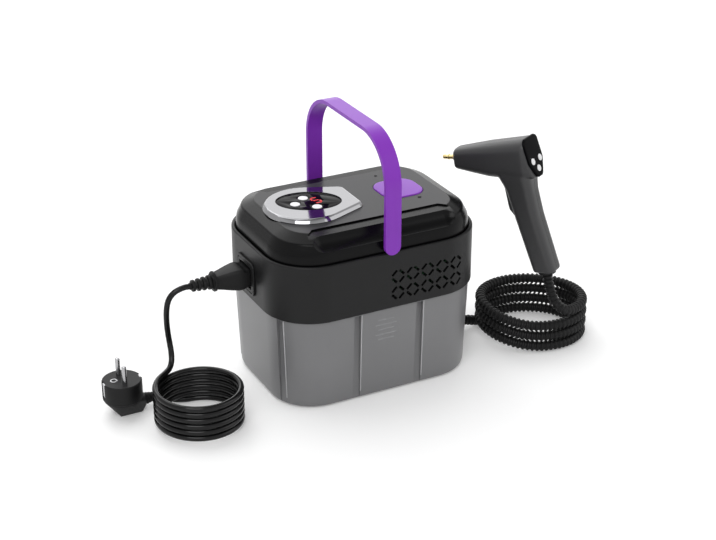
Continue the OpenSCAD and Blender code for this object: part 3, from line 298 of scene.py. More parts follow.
def cup(name, w, d, r, profile, steps, at=(0.0, 0.0)):
    """Closed form that follows a profile of (inset, height) pairs from its foot."""
    first = profile[0]
    piece = plate(name, w - 2 * first[0], d - 2 * first[0], max(r - first[0], 0.5), steps,
                  (at[0], at[1], first[1]))
    way = 0.02 if profile[-1][1] > first[1] else -0.02
    rise(way)
    last = (first[0], first[1] + way)
    for inset, z in profile[1:]:
        rise(z - last[1], inset - last[0])
        last = (inset, z)
    close_form()
    return piece


def apply_all(piece):
    choose(piece)
    for modifier in list(piece.modifiers):
        bpy.ops.object.modifier_apply(modifier=modifier.name)
    return piece


def round_edges(piece, width, steps=2, angle=35.0):
    bevel = piece.modifiers.new("Rounding", "BEVEL")
    bevel.width = width * MM
    bevel.segments = steps
    bevel.limit_method = "ANGLE"
    bevel.angle_limit = math.radians(angle)
    bevel.use_clamp_overlap = True
    return apply_all(piece)


def cut(piece, cutter, operation="DIFFERENCE"):
    boolean = piece.modifiers.new("Cut", "BOOLEAN")
    boolean.operation = operation
    boolean.solver = "EXACT"
    boolean.object = cutter
    apply_all(piece)
    bpy.data.objects.remove(cutter, do_unlink=True)
    return piece


def joined(pieces, name):
    clear_selection()
    for piece in pieces:
        piece.select_set(True)
    bpy.context.view_layer.objects.active = pieces[0]
    if len(pieces) > 1:
        bpy.ops.object.join()
    return name_active(name)


def rod(name, r, length, at, toward, sides=32):
    """Round bar from a point towards a direction. Millimetres."""
    clear_selection()
    direction = Vector(toward).normalized()
    middle = Vector(at) + direction * (length / 2)
    bpy.ops.mesh.primitive_cylinder_add(vertices=sides, radius=r * MM, depth=length * MM,
                                        location=middle * MM)
    piece = name_active(name)
    piece.rotation_mode = "QUATERNION"
    piece.rotation_quaternion = direction.to_track_quat("Z", "Y")
    bpy.ops.object.transform_apply(location=True, rotation=True)
    return piece


def bar(name, size, at, edge=0.0):
    """Block by its middle, with rounded edges. Millimetres."""
    clear_selection()
    bpy.ops.mesh.primitive_cube_add(size=1.0, location=[c * MM for c in at])
    piece = name_active(name)
    piece.scale = [c * MM for c in size]
    bpy.ops.object.transform_apply(location=True, scale=True)
    if edge > 0:
        round_edges(piece, edge, 2)
    return piece


def disc(name, r, at=(0.0, 0.0, 0.0), sides=48):
    """Flat round plate at its place. Millimetres."""
    clear_selection()
    bpy.ops.mesh.primitive_circle_add(vertices=sides, radius=r * MM, fill_type="NGON",
                                      location=[c * MM for c in at])
    piece = name_active(name)
    bpy.ops.object.transform_apply(location=True)
    return piece


def hull_plate(discs, name):
    """Flat plate stretched round some discs, left in edit mode with all selected."""
    piece = joined(discs, name)
    edit_all()
    bpy.ops.mesh.convex_hull(delete_unused=True, join_triangles=True)
    take_all()
    bpy.ops.mesh.dissolve_limited(angle_limit=0.02)
    take_all()
    return piece


def turned(name, profile, at, toward, sides=48):
    """Turned piece: the profile of (radius, height) pairs spun about the direction. Millimetres."""
    piece = disc(name, profile[0][0], sides=sides)
    edit_all()
    bpy.ops.transform.translate(value=(0.0, 0.0, profile[0][1] * MM))
    last = profile[0]
    for r, z in profile[1:]:
        rise(z - last[1])
        share = r / last[0]
        bpy.ops.transform.resize(value=(share, share, 1.0))
        last = (r, z)
    leave_edit()
    piece.rotation_mode = "QUATERNION"
    piece.rotation_quaternion = Vector(toward).normalized().to_track_quat("Z", "Y")
    piece.location = Vector(at) * MM
    bpy.ops.object.transform_apply(location=True, rotation=True)
    return piece


def move(piece, matrix):
    choose(piece)
    piece.matrix_world = matrix
    bpy.ops.object.transform_apply(location=True, rotation=True, scale=True)
    return piece


def turn(piece, degrees, axis):
    return move(piece, Matrix.Rotation(math.radians(degrees), 4, axis))


def shift(piece, by):
    return move(piece, Matrix.Translation(Vector(by) * MM))


def box_mm(name):
    """Lowest and highest corner of one of the frame's nodes. Millimetres."""
    return [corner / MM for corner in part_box(name)]


# Casing

GROOVE_IN = 7.6
CORNER_GROOVE = math.radians(26.5)


def groove_cutter(reach, degrees, at):
    """Upright bar that cuts one groove from the given reach outwards, turned about an upright axis."""
    groove = bar("groove", (20.0, 8.0, 97.5), (reach + 10.0, 0.0, 47.75))
    turn(groove, degrees, "Z")
    return shift(groove, (at[0], at[1], 0.0))


def groove_highlight_rib(reach, degrees, at):
    """Thin raised edge beside a groove that follows the draft of the tank wall. Its pale finish is a painted
    highlight along the groove's edge.
    """
    highlight_rib = bar("highlight_rib", (1.1, 0.9, 88.0), (0.0, 0.0, 0.0), 0.3)
    turn(highlight_rib, 2.12, "Y")
    shift(highlight_rib, (reach + GROOVE_IN - 4.35, 4.4, 53.0))
    turn(highlight_rib, degrees, "Z")
    return shift(highlight_rib, (at[0], at[1], 0.0))


class STEAM_OT_water_tank(bpy.types.Operator):
    """Smoky water tank with its upright grooves and level lines"""
    bl_idname = "steam.water_tank"
    bl_label = "Water tank"

    def execute(self, context):
        s = sizes()
        outside = [(2.5, s.seam_z - 0.05), (2.5, 97.0), (5.8, 8.0), (6.0, 5.6), (7.0, 2.6), (9.2, 0.8),
                   (13.0, 0.0)]
        inside = [(9.4, 99.0), (11.8, 10.0), (15.0, 4.5), (19.0, 3.2)]
        tank = cup("smoky_tank", s.body_w, s.body_d, s.body_r, outside, s.corner_steps)
        cut(tank, cup("tank_room", s.body_w, s.body_d, s.body_r, inside, s.corner_steps))
        ribs = []
        for sx in (-1, 1):
            for sy in (-1, 1):
                corner = (sx * (s.body_w / 2 - s.body_r), sy * (s.body_d / 2 - s.body_r))
                heading = math.degrees(math.atan2(sy * math.sin(CORNER_GROOVE), sx * math.cos(CORNER_GROOVE)))
                for groove in ((s.body_d / 2 - GROOVE_IN, sy * 90, (sx * 35.0, 0.0)),
                               (s.body_r - GROOVE_IN, heading, corner)):
                    cut(tank, groove_cutter(*groove))
                    ribs.append(groove_highlight_rib(*groove))
        settle(tank, "smoke", "smoke_plastic", ["water_tank"], sharp=28)
        # The pale ribs beside the grooves are a painted highlight along their edges.
        settle(joined(ribs, "tank_groove_ribs"), "highlight_rib", "smoke_plastic")
        marks = []
        for row in range(5):
            marks.append(bar("level_line", (24.0 if row % 2 else 18.0, 0.5, 1.2),
                             (-3.0, -s.body_d / 2 + 3.15 + row * 0.2, 86.0 - row * 5.5), 0.2))
        settle(joined(marks, "tank_level_lines"), "mark", "smoke_plastic")
        return {"FINISHED"}


class STEAM_OT_housing_band(bpy.types.Operator):
    """Black band with its vents and the raised frame of the mains inlet"""
    bl_idname = "steam.housing_band"
    bl_label = "Housing band"

    def execute(self, context):
        s = sizes()
        band = plate("housing_band_shell", s.body_w, s.body_d, s.body_r, s.corner_steps, (0.0, 0.0, s.seam_z))
        ring_wall(4.0, s.rim_z - s.seam_z)
        close_form()
        round_edges(band, 1.7, 4, 60)
        vent_z = 123.0
        slots = []
        for column in range(5):
            for row in (-1, 1):
                for quarter in range(4):
                    slot = bar("slot", (2.6, 14.0, 7.4), (0.0, 0.0, 0.0))
                    shift(slot, (5.7, 0.0, 0.0))
                    turn(slot, 45 + 90 * quarter, "Y")
                    shift(slot, (8.3 + column * 16.7, -s.body_d / 2, vent_z + row * 9.0))
                    slots.append(slot)
        cut(band, joined(slots, "vent_slots"))
        opening = plate("inlet_opening", 30.6, 34.6, 4.0, 5)
        rise(20.0)
        leave_edit()
        turn(opening, 90, "Y")
        shift(opening, (-s.body_w / 2 - 5.0, INLET_Y, INLET_Z))
        cut(band, opening)
        settle(band, "satin", "black_satin", ["housing_band"], sharp=30, even=True)
        return {"FINISHED"}


# Share by which the lid draws in along its length between 168 and 177 mm
END_DRAFT = 0.03


class STEAM_OT_top_cover(bpy.types.Operator):
    """Lid with its sloping shoulder, finger scoops and pivot bosses"""
    bl_idname = "steam.top_cover"
    bl_label = "Top cover"

    def execute(self, context):
        s = sizes()
        profile = [(4.3, 152.0), (4.6, 164.0), (5.2, 170.0), (6.2, 174.6), (7.0, 177.6), (7.2, 178.3),
                   (7.7, 179.1), (8.6, 179.75), (9.3, 180.1), (19.4, 184.4), (20.1, 184.7), (21.1, 185.2),
                   (22.2, s.top_z)]
        lid = cup("lid_shell", s.body_w, s.body_d, s.body_r, profile, s.corner_steps)
        for vertex in lid.data.vertices:
            vertex.co.x *= 1.0 - END_DRAFT * min(1.0, max(0.0, (vertex.co.z / MM - 168.0) / 9.0))
        for sy in (-1, 1):
            clear_selection()
            bpy.ops.mesh.primitive_uv_sphere_add(segments=48, ring_count=32, radius=17.0 * MM)
            scoop = name_active("scoop")
            turn(scoop, 90, "Y")
            edit_all()
            bpy.ops.mesh.bisect(plane_co=(0.0, 0.0, 0.0), plane_no=(1.0, 0.0, 0.0), clear_outer=True)
            leave_edit()
            for vertex in scoop.data.vertices:
                vertex.co.x -= 68.0 * MM
            scoop.modifiers.new("Other end", "MIRROR")
            apply_all(scoop)
            bpy.ops.object.mode_set(mode="EDIT")
            bpy.ops.mesh.select_all(action="DESELECT")
            bpy.ops.mesh.select_non_manifold()
            bpy.ops.mesh.bridge_edge_loops()
            close_form()
            shift(scoop, (0.0, sy * (s.body_d / 2 - 2.0), s.top_z + 2.5))
            cut(lid, scoop)
            step = bar("step", (204.0, 32.0, 10.0), (0.0, sy * (s.body_d / 2 - 16.0), s.top_z + 3.4))
            for vertex in step.data.vertices:
                if abs(vertex.co.y) < 0.06:
                    vertex.co.x *= 140.0 / 204.0
            cut(lid, step)
        round_edges(lid, 0.9, 2, 38)
        pocket = [(0.0, s.top_z - 3.0), (0.0, s.top_z + 7.0)]
        cut(lid, cup("pocket", 47.2, 47.2, 17.0, pocket, 10, (FILLER_X, 0.0)))
        cut(lid, rod("neck_hole", 22.1, 40.0, (FILLER_X, 0.0, s.top_z - 36.0), (0.0, 0.0, 1.0), 64))
        cut(lid, oval("display_hole", 30.0, 20.0, (PANEL_X, 0.0, s.top_z - 10.0), 20.0))
        bosses = []
        for sy in (-1, 1):
            boss = rod("boss", 7.6, 14.0, (0.0, sy * 84.1, s.pivot_z), (0.0, -sy, 0.0), 48)
            round_edges(boss, 0.7, 2)
            bosses.append(boss)
        lid = joined([lid] + bosses, "lid_shell")
        settle(lid, "gloss", "black_gloss", ["top_cover"], sharp=24, even=True)
        # The lid's flat top gets a paler tone than its slopes: a painted highlight for the light it catches.
        paint_highlight_above(lid.data.materials[0], s.top_z - 0.1, (0.036, 0.036, 0.038))
        dots = []
        for x, y, r in ((48.3, 40.0, 1.6), (61.8, -29.5, 2.0)):
            dots.append(turned("dot", [(r, s.top_z - 0.05), (r, s.top_z + 0.25), (r - 0.4, s.top_z + 0.35)],
                               (x, y, 0.0), (0.0, 0.0, 1.0), 20))
        settle(joined(dots, "lid_moulding_dots"), "piano", "black_gloss")
        return {"FINISHED"}


class STEAM_OT_carry_handle(bpy.types.Operator):
    """Purple strap handle"""
    bl_idname = "steam.carry_handle"
    bl_label = "Carrying handle"

    def execute(self, context):
        s = sizes()
        inner = 84.4
        outer = inner + 4.0
        clear_selection()
        bpy.ops.mesh.primitive_plane_add(size=1.0)
        strap = name_active("carry_strap")
        edit_all()
        bpy.ops.transform.resize(value=(2 * outer * MM, s.handle_h * MM, 1.0))
        bpy.ops.transform.translate(value=(0.0, s.handle_h / 2 * MM, 0.0))
        bpy.ops.mesh.select_all(action="DESELECT")
        leave_edit()
        for vertex in strap.data.vertices:
            vertex.select = vertex.co.y > 0.01
        bpy.ops.object.mode_set(mode="EDIT")
        bpy.ops.mesh.select_mode(type="VERT")
        bpy.ops.mesh.bevel(offset=50.0 * MM, segments=28, affect="VERTICES", profile=0.5)
        leave_edit()
        edit_all()
        bpy.ops.mesh.inset(thickness=4.0 * MM, depth=0.0)
        bpy.ops.mesh.delete(type="FACE")
        leave_edit()
        edit_all()
        bpy.ops.mesh.bisect(plane_co=(0.0, 4.1 * MM, 0.0), plane_no=(0.0, 1.0, 0.0), clear_inner=True)
        take_all()
        rise(s.strap_w)
        close_form()
        for vertex in strap.data.vertices:
            vertex.co.z -= s.strap_w / 2 * MM
        stand = Matrix(((0, 0, 1, 0), (1, 0, 0, 0), (0, 1, 0, s.pivot_z * MM), (0, 0, 0, 1)))
        move(strap, stand)
        ends = []
        for sy in (-1, 1):
            end = rod("end", s.strap_w / 2, 4.0, (0.0, sy * inner, s.pivot_z), (0.0, sy, 0.0), 64)
            tongue = bar("tongue", (s.strap_w, 4.0, 4.4), (0.0, sy * (inner + 2.0), s.pivot_z + 2.2))
            ends.append(cut(end, tongue, "UNION"))
        for end in ends:
            cut(strap, end, "UNION")
        bores = [rod("bore", 4.06, 4.0, (0.0, sy * (inner - 1.0), s.pivot_z), (0.0, sy, 0.0), 48)
                 for sy in (-1, 1)]
        for bore in bores:
            cut(strap, bore)
        round_edges(strap, 1.1, 3, 50)
        settle(strap, "purple", "purple_plastic", ["carry_handle"], "handle", sharp=30)
        return {"FINISHED"}


# Control panel and filler

def oval(name, half_x, half_y, at, dz, sides=64):
    """Oval slab, scaled from a disc of one metre. Millimetres."""
    piece = disc(name, 1.0 / MM, sides=sides)
    edit_all()
    bpy.ops.transform.resize(value=(half_x * MM, half_y * MM, 1.0))
    rise(dz)
    leave_edit()
    return shift(piece, at)


def button_cap(name, r, height):
    """Push button with a crowned top, its foot at the origin. Millimetres."""
    piece = disc(name, r, sides=40)
    edit_all()
    climb(((height - 0.5, 0.0), (0.28, 0.22), (0.16, 0.5), (0.06, 1.0)))
    leave_edit()
    return piece


WINDOW_TURN = -24.0


class STEAM_OT_control_panel(bpy.types.Operator):
    """Chrome bezel, display window, lit numeral and the three keys beside it"""
    bl_idname = "steam.control_panel"
    bl_label = "Control panel"

    def execute(self, context):
        s = sizes()
        z = s.top_z
        discs = [disc("bezel_round", 43.0, (PANEL_X - 6.0, 0.0, z), 96)]
        discs += [disc("bezel_corner", 9.0, (PANEL_X + 39.0, sy * 18.0, z)) for sy in (-1, 1)]
        bezel = hull_plate(discs, "panel_bezel_ring")
        climb(((0.8, 0.0), (2.2, 1.5), (1.1, 1.0), (0.5, 0.9), (0.15, 0.8)))
        leave_edit()
        hole = turn(oval("window_hole", 33.3, 23.3, (0.0, 0.0, z - 2.0), 10.0), WINDOW_TURN, "Z")
        cut(bezel, shift(hole, (PANEL_X - 1.0, 3.0, 0.0)))
        round_edges(bezel, 1.2, 4, 50)
        settle(bezel, "chrome", "chrome_trim", ["panel_bezel"], sharp=26, even=True)

        window = turn(oval("display_window_glass", 33.0, 23.0, (0.0, 0.0, z), 4.0), WINDOW_TURN, "Z")
        shift(window, (PANEL_X - 1.0, 3.0, 0.0))
        key_places = {"rear": (PANEL_X - 2.5, 13.0), "left": (PANEL_X - 16.0, 2.5),
                      "front": (PANEL_X + 1.0, -12.5)}
        for x, y in key_places.values():
            cut(window, rod("key_hole", 5.15, 10.0, (x, y, z - 2.0), (0.0, 0.0, 1.0), 40))
        round_edges(window, 0.3, 2, 40)
        settle(window, "piano", "black_gloss", ["display_window"], sharp=30)

        for side, (x, y) in key_places.items():
            stem = rod("stem", 6.2, 1.4, (x, y, z - 3.0), (0.0, 0.0, 1.0), 40)
            key = shift(button_cap("key", 5.0, 7.3), (x, y, z - 2.6))
            key = joined([key, stem], side + "_key")
            settle(key, "white", "white_plastic", [side + "_button"], "panel_button_" + side, sharp=30)

        low, high = box_mm("display_digit")
        middle = (low + high) / 2
        tall = high.y - low.y
        wide = high.x - low.x
        stroke = 1.5
        level_bar = (wide - 2.2 * stroke, stroke, 0.22)
        upright_bar = (stroke, (tall - 3.4 * stroke) / 2, 0.22)
        half_x = (wide - stroke) / 2
        half_y = (tall - stroke) / 2
        segments = [(level_bar, 0.0, level * half_y) for level in (-1, 0, 1)]
        segments += [(upright_bar, side * half_x, -side * half_y / 2) for side in (-1, 1)]
        bars = [bar("segment", size, (middle.x + x, middle.y + y, low.z + 0.12), 0.08)
                for size, x, y in segments]
        settle(joined(bars, "lit_numeral"), "lit", "red_light", ["display_digit"])
        return {"FINISHED"}


class STEAM_OT_filler_cap(bpy.types.Operator):
    """Purple filler cap with its plug"""
    bl_idname = "steam.filler_cap"
    bl_label = "Filler cap"

    def execute(self, context):
        s = sizes()
        floor = s.top_z - 3.0
        profile = [(0.0, floor), (0.0, floor + 3.0), (0.3, floor + 3.6), (1.0, floor + 3.95),
                   (1.8, floor + 4.0)]
        head = cup("cap_head", 46.0, 46.0, 16.4, profile, 10, (FILLER_X, 0.0))
        plug = turned("cap_plug", [(10.0, -12.0), (12.2, -11.8), (13.0, -11.0), (13.0, 0.2)],
                      (FILLER_X, 0.0, floor), (0, 0, 1))
        cap = joined([head, plug], "filler_cap_knob")
        settle(cap, "purple", "purple_plastic", ["filler_cap"], "cap", sharp=30)
        return {"FINISHED"}


# Mains side

def along(points, steps):
    """Smooth curve through given points."""
    p = [Vector(q) for q in points]
    out = []
    for i in range(len(p) - 1):
        a, b, c, d = p[max(i - 1, 0)], p[i], p[i + 1], p[min(i + 2, len(p) - 1)]
        for k in range(steps):
            t = k / steps
            out.append(0.5 * (2 * b + (c - a) * t + (2 * a - 5 * b + 4 * c - d) * t * t
                              + (3 * b - a - 3 * c + d) * t ** 3))
    out.append(p[-1])
    return out


def winding(middle, r, start_deg, turn_deg, z0, pitch, per_loop):
    """Points of a coil that starts at an angle and climbs or sinks by its pitch."""
    count = round(abs(turn_deg) / 360 * per_loop)
    points = []
    for k in range(count + 1):
        t = k / count
        a = math.radians(start_deg + turn_deg * t)
        points.append(Vector((middle[0] + r * math.cos(a), middle[1] + r * math.sin(a),
                              z0 + pitch * abs(turn_deg) / 360 * t)))
    return points


def laid_loops(middle, long, short, tilt_deg, start_deg, turn_deg, z0, pitch, per_loop):
    """Points of an oval coil whose loops lie flat and step up near their ends."""
    count = round(turn_deg / 360 * per_loop)
    lay = Matrix.Rotation(math.radians(tilt_deg), 3, "Z")
    points = []
    for k in range(count + 1):
        turned_deg = turn_deg * k / count
        loop = math.floor(turned_deg / 360)
        share = min(1.0, max(0.0, (turned_deg - 360 * loop - 230) / 110))
        lift = pitch * (loop + share * share * (3 - 2 * share))
        a = math.radians(start_deg - turned_deg)
        points.append(lay @ Vector((long * math.cos(a), short * math.sin(a), 0.0))
                      + Vector((middle[0], middle[1], z0 + lift)))
    return points


def path_length(points):
    return sum((b - a).length for a, b in zip(points, points[1:]))


def swept(name, points, radius_of, sides):
    """Tube of rings along a path, closed at both ends. Millimetres."""
    count = len(points)
    tangents = [(points[min(i + 1, count - 1)] - points[max(i - 1, 0)]).normalized() for i in range(count)]
    side = tangents[0].orthogonal().normalized()
    vertices, faces = [], []
    for i in range(count):
        side = (side - tangents[i] * side.dot(tangents[i])).normalized()
        other = tangents[i].cross(side)
        r = radius_of(i)
        for k in range(sides):
            a = 2 * math.pi * k / sides
            vertices.append((points[i] + r * (math.cos(a) * side + math.sin(a) * other)) * MM)
    for i in range(count - 1):
        for k in range(sides):
            k2 = (k + 1) % sides
            faces.append((i * sides + k, i * sides + k2, (i + 1) * sides + k2, (i + 1) * sides + k))
    faces.append(tuple(reversed(range(sides))))
    faces.append(tuple(range((count - 1) * sides, count * sides)))
    mesh = bpy.data.meshes.new(name)
    mesh.from_pydata(vertices, [], faces)
    mesh.update()
    piece = bpy.data.objects.new(name, mesh)
    bpy.context.scene.collection.objects.link(piece)
    return piece


def onto_inlet(piece, x):
    """Turn a flat-laid piece to face out of the end wall, in line with the inlet. Millimetres."""
    turn(piece, -90, "Y")
    return shift(piece, (x, INLET_Y, INLET_Z))


class STEAM_OT_mains_inlet(bpy.types.Operator):
    """Inlet frame on the end wall and the connector with its ribbed strain relief"""
    bl_idname = "steam.mains_inlet"
    bl_label = "Mains inlet and connector"

    def execute(self, context):
        s = sizes()
        wall = -s.body_w / 2
        collar = plate("inlet_collar", 36.0, 40.0, 6.0, 6)
        ring_wall(2.9, 2.2)
        leave_edit()
        onto_inlet(collar, wall + 0.2)
        round_edges(collar, 0.5, 2, 50)
        settle(collar, "satin", "black_satin")
        inlet = plate("inlet_socket", 30.0, 34.0, 4.0, 6)
        rise(-24.0)
        bpy.ops.mesh.select_all(action="DESELECT")
        leave_edit()
        for face in inlet.data.polygons:
            face.select = all(abs(inlet.data.vertices[v].co.z) < 1e-6 for v in face.vertices)
        bpy.ops.object.mode_set(mode="EDIT")
        bpy.ops.mesh.select_mode(type="FACE")
        bpy.ops.mesh.inset(thickness=3.4 * MM, depth=0.0)
        rise(-15.0)
        leave_edit()
        onto_inlet(inlet, wall - 1.9)
        round_edges(inlet, 0.5, 2, 50)
        settle(inlet, "satin", "black_satin", ["mains_inlet"])

        nose = plate("connector_nose", 19.2, 26.2, 3.6, 5)
        for dz, sx, sy in ((19.0, 1.0, 1.0), (2.0, 1.16, 1.0), (5.0, 1.02, 0.96), (8.0, 0.88, 0.86),
                           (8.0, 0.82, 0.8), (7.0, 0.84, 0.82), (3.0, 0.98, 0.98)):
            rise(dz)
            bpy.ops.transform.resize(value=(sx, sy, 1.0))
        leave_edit()
        onto_inlet(nose, wall + 13.0)
        round_edges(nose, 1.0, 3, 25)
        profile = [(5.0, -1.4), (9.8, -1.2), (10.4, -0.6), (10.4, 1.0), (9.8, 1.6), (4.8, 2.0)]
        for k in range(4):
            z0 = 3.2 + k * 5.6
            r0 = 7.4 - k * 0.45
            profile += [(r0 - 2.6, z0), (r0 - 0.4, z0 + 0.4), (r0, z0 + 1.0), (r0, z0 + 2.8),
                        (r0 - 0.4, z0 + 3.4), (r0 - 2.6, z0 + 3.8)]
        profile += [(3.6, 25.6), (3.2, 26.0)]
        relief = turned("strain_relief", profile, (wall - 36.0, INLET_Y, INLET_Z), (-1, 0, 0))
        connector = joined([nose, relief], "mains_connector_body")
        settle(connector, "rubber", "black_rubber", ["mains_connector"], sharp=32)
        return {"FINISHED"}


class STEAM_OT_mains_cord(bpy.types.Operator):
    """Mains cord from the connector through its coil to the plug"""
    bl_idname = "steam.mains_cord"
    bl_label = "Mains cord and plug"

    def execute(self, context):
        s = sizes()
        pitch = s.cord_d + 0.5
        turns = 5.86
        coil = winding((-192, -45), 41.8, 128, 360 * turns, s.cord_d / 2 + pitch * turns, -pitch, 72)
        lead = [(-177, 6, 123), (-183.5, 6, 123), (-192.5, 6.3, 120), (-198.5, 7, 113), (-201, 8, 102),
                (-201.3, 9, 88), (-200.6, 9.4, 76), (-199.6, 9, 65), (-199.3, 6.5, 54), (-201.4, 2, 46),
                (-206.7, -3.5, 41.8), coil[0]]
        tail = [coil[-1], (-192, -2.2, 3), (-203, 2, 4.2), (-211.5, 7, 8.2), (-218, 8, 9)]
        route = along(lead, 8)[:-1] + coil + along(tail, 8)[1:]
        cord = swept("mains_cord", route, lambda i: s.cord_d / 2 - 0.03, 14)
        settle(cord, "cord", "black_rubber", ["mains_lead", "mains_coil", "mains_tail"], sharp=60)

        x = -252.0
        y = 8.0
        face = 37.0
        up = (0, 0, 1)
        body = turned("plug_body", [(19.0, face - 20.5), (20.0, face - 19.6), (20.0, face - 1.2),
                                    (19.7, face - 0.5), (19.0, face)], (x, y, 0.0), up, 64)
        keel = bar("keel", (22.0, 18.0, 2.0), (x + 5.0, y, 1.0))
        mouth = rod("mouth", 7.0, 2.0, (x + 20.0, y, 9.0), (1, 0, 0), 40)
        crown = rod("crown", 19.5, 1.5, (x, y, face - 21.0), up, 64)
        keel = joined([keel, mouth, crown], "plug_keel")
        edit_all()
        bpy.ops.mesh.convex_hull(delete_unused=True)
        leave_edit()
        round_edges(keel, 0.9, 2, 28)
        for sx in (-1, 1):
            cut(body, bar("clip_slot", (5.0, 8.0, 30.0), (x + sx * 20.0, y, face - 2.0)))
        neck = turned("plug_neck", [(6.6, 0.0), (6.4, 2.0), (5.4, 2.4), (6.0, 3.4), (5.9, 5.2), (4.9, 5.6),
                                    (5.5, 6.6), (5.3, 8.4), (4.4, 8.8), (4.9, 9.8), (4.7, 12.6), (3.6, 14.0)],
                      (x + 20.0, y, 9.0), (1, 0, 0), 40)
        plug = joined([body, keel, neck], "plug_moulding")
        settle(plug, "rubber", "black_rubber", ["mains_plug"], sharp=30)
        pin = [(2.4, face - 2.0), (2.4, face + 17.6), (2.25, face + 18.3), (1.8, face + 18.8),
               (1.2, face + 19.0)]
        pins = joined([turned("pin", pin, (x, y + sy * 9.5, 0.0), up, 32) for sy in (-1, 1)], "contact_pins")
        settle(pins, "steel", "steel", ["plug_pins"])
        clips = [bar("clip", (1.6, 7.2, 16.4), (x + sx * 18.35, y, face - 8.8), 0.4) for sx in (-1, 1)]
        eyelet = [(2.2, face - 0.6), (3.8, face - 0.59), (3.8, face + 0.3), (3.4, face + 0.6),
                  (2.6, face + 0.6), (2.2, face + 0.3), (2.19, face - 0.5)]
        clips.append(turned("eyelet", eyelet, (x - 8.2, y, 0.0), up, 32))
        clips = joined(clips, "earth_springs")
        settle(clips, "steel", "steel", ["earth_clips"])
        return {"FINISHED"}


# Hose side

class STEAM_OT_hose_outlet(bpy.types.Operator):
    """Cover over the steam tube on the end wall, and the hose's gland"""
    bl_idname = "steam.hose_outlet"
    bl_label = "Hose outlet"

    def execute(self, context):
        low, high = box_mm("hose_cover")
        seam = sizes().seam_z
        wall = sizes().body_w / 2
        lower = bar("lower", (high.x - low.x, high.y - low.y, seam - low.z),
                    ((low.x + high.x) / 2, (low.y + high.y) / 2, (low.z + seam) / 2))
        upper = bar("upper", (high.x - wall, high.y - low.y, high.z - seam + 0.2),
                    ((wall + high.x) / 2, (low.y + high.y) / 2, (high.z + seam - 0.2) / 2))
        cover = cut(lower, upper, "UNION")
        cut(cover, bar("hollow", (high.x - low.x + 16.0, high.y - low.y - 4.4, high.z - low.z - 4.4),
                       (low.x + (high.x - low.x) / 2 - 10.2, (low.y + high.y) / 2, (low.z + high.z) / 2)))
        round_edges(cover, 1.8, 3, 50)
        cover.name = "hose_cover_shell"
        settle(cover, "satin", "black_satin", ["hose_cover"])
        low, high = box_mm("hose_gland")
        gland = turned("gland_nut", [(8.6, 0.0), (9.9, 0.4), (10.0, 1.0), (10.0, 2.4), (9.6, 3.0), (7.5, 3.1),
                                     (7.5, 6.8), (7.0, 7.6), (6.2, 8.0)],
                       (low.x, (low.y + high.y) / 2, (low.z + high.z) / 2), (1, 0, 0))
        settle(gland, "satin", "black_satin", ["hose_gland"])
        return {"FINISHED"}


class STEAM_OT_steam_hose(bpy.types.Operator):
    """Ribbed steam hose from the gland through its coil up to the gun"""
    bl_idname = "steam.steam_hose"
    bl_label = "Steam hose"

    def execute(self, context):
        s = sizes()
        pitch = s.hose_d + 0.5
        coil = laid_loops((201.5, -33.0), 55.0, 46.0, -27.3, 152.0, 1262.0, s.hose_d / 2, pitch, 120)
        foot = gun_matrix() @ Vector((-10.4, 0.0, -126.0))
        up = (gun_matrix().to_3x3() @ Vector((0.0, 0.0, 1.0))).normalized()
        lead = [(134, 4, 11), (140, 4, 10.8), (147, 4, 9), (154, 4.2, 6.9), (161, 5.6, 5.9), coil[0]]
        riser = [coil[-1], (222.5, -80, 42.6), (212.5, -82.4, 45.6), (204.3, -80.2, 51.6), (200, -75.8, 60.5),
                 foot - s.hose_d * up, foot]
        route = along(lead, 12)[:-1] + coil + along(riser, 12)[1:]
        total = path_length(route)
        ribs = int(total / s.rib_pitch)
        rings, radii = [], []
        travelled = 0.0
        marks = [(k + f) * total / ribs for k in range(ribs) for f in (0.0, 0.2, 0.5, 0.7)] + [total]
        shares = [1.2, 0.0, 0.0, 1.2] * ribs + [0.0]
        index = 0
        for mark, share in zip(marks, shares):
            while index < len(route) - 2 and travelled + (route[index + 1] - route[index]).length < mark:
                travelled += (route[index + 1] - route[index]).length
                index += 1
            step = route[index + 1] - route[index]
            rings.append(route[index] + step * ((mark - travelled) / step.length))
            radii.append(s.hose_d / 2 - 0.02 - share)
        hose = swept("ribbed_steam_hose", rings, lambda i: radii[i], 14)
        settle(hose, "rubber", "black_rubber", ["hose_lead", "hose_coil", "hose_riser"], sharp=40)
        return {"FINISHED"}


# Steam gun, modelled with the barrel along +X and the grip down, then put in its place

def gun_matrix():
    """Place of the gun in millimetres."""
    return (Matrix.Translation((179.4, -39.5, 209.1)) @ Matrix.Rotation(math.radians(121), 4, "Z")
            @ Matrix.Rotation(math.radians(10.5), 4, "Y"))


def settle_on_gun(piece, *finish, **more):
    """Put a gun piece in its place and finish it."""
    matrix = gun_matrix()
    matrix.translation = matrix.translation * MM
    return settle(move(piece, matrix), *finish, **more)


def lean_back(piece, limit):
    """Lean the rear face of a gun piece forwards at its top, where it lies behind the limit."""
    for vertex in piece.data.vertices:
        if vertex.co.x < limit:
            vertex.co.x += REAR_LEAN * vertex.co.z
    return piece


def section_stack(name, sections, steps):
    """Form through rounded sections of (along, middle, half across, half up, radius), stacked along +Z."""
    first = sections[0]
    piece = plate(name, 2 * first[2], 2 * first[3], first[4], steps, (0.0, first[1], first[0]))
    last = first
    for section in sections[1:]:
        bpy.ops.mesh.extrude_region_move(TRANSFORM_OT_translate={
            "value": (0.0, (section[1] - last[1]) * MM, (section[0] - last[0]) * MM)})
        bpy.ops.transform.resize(value=(section[2] / last[2], section[3] / last[3], 1.0))
        last = section
    close_form()
    return piece


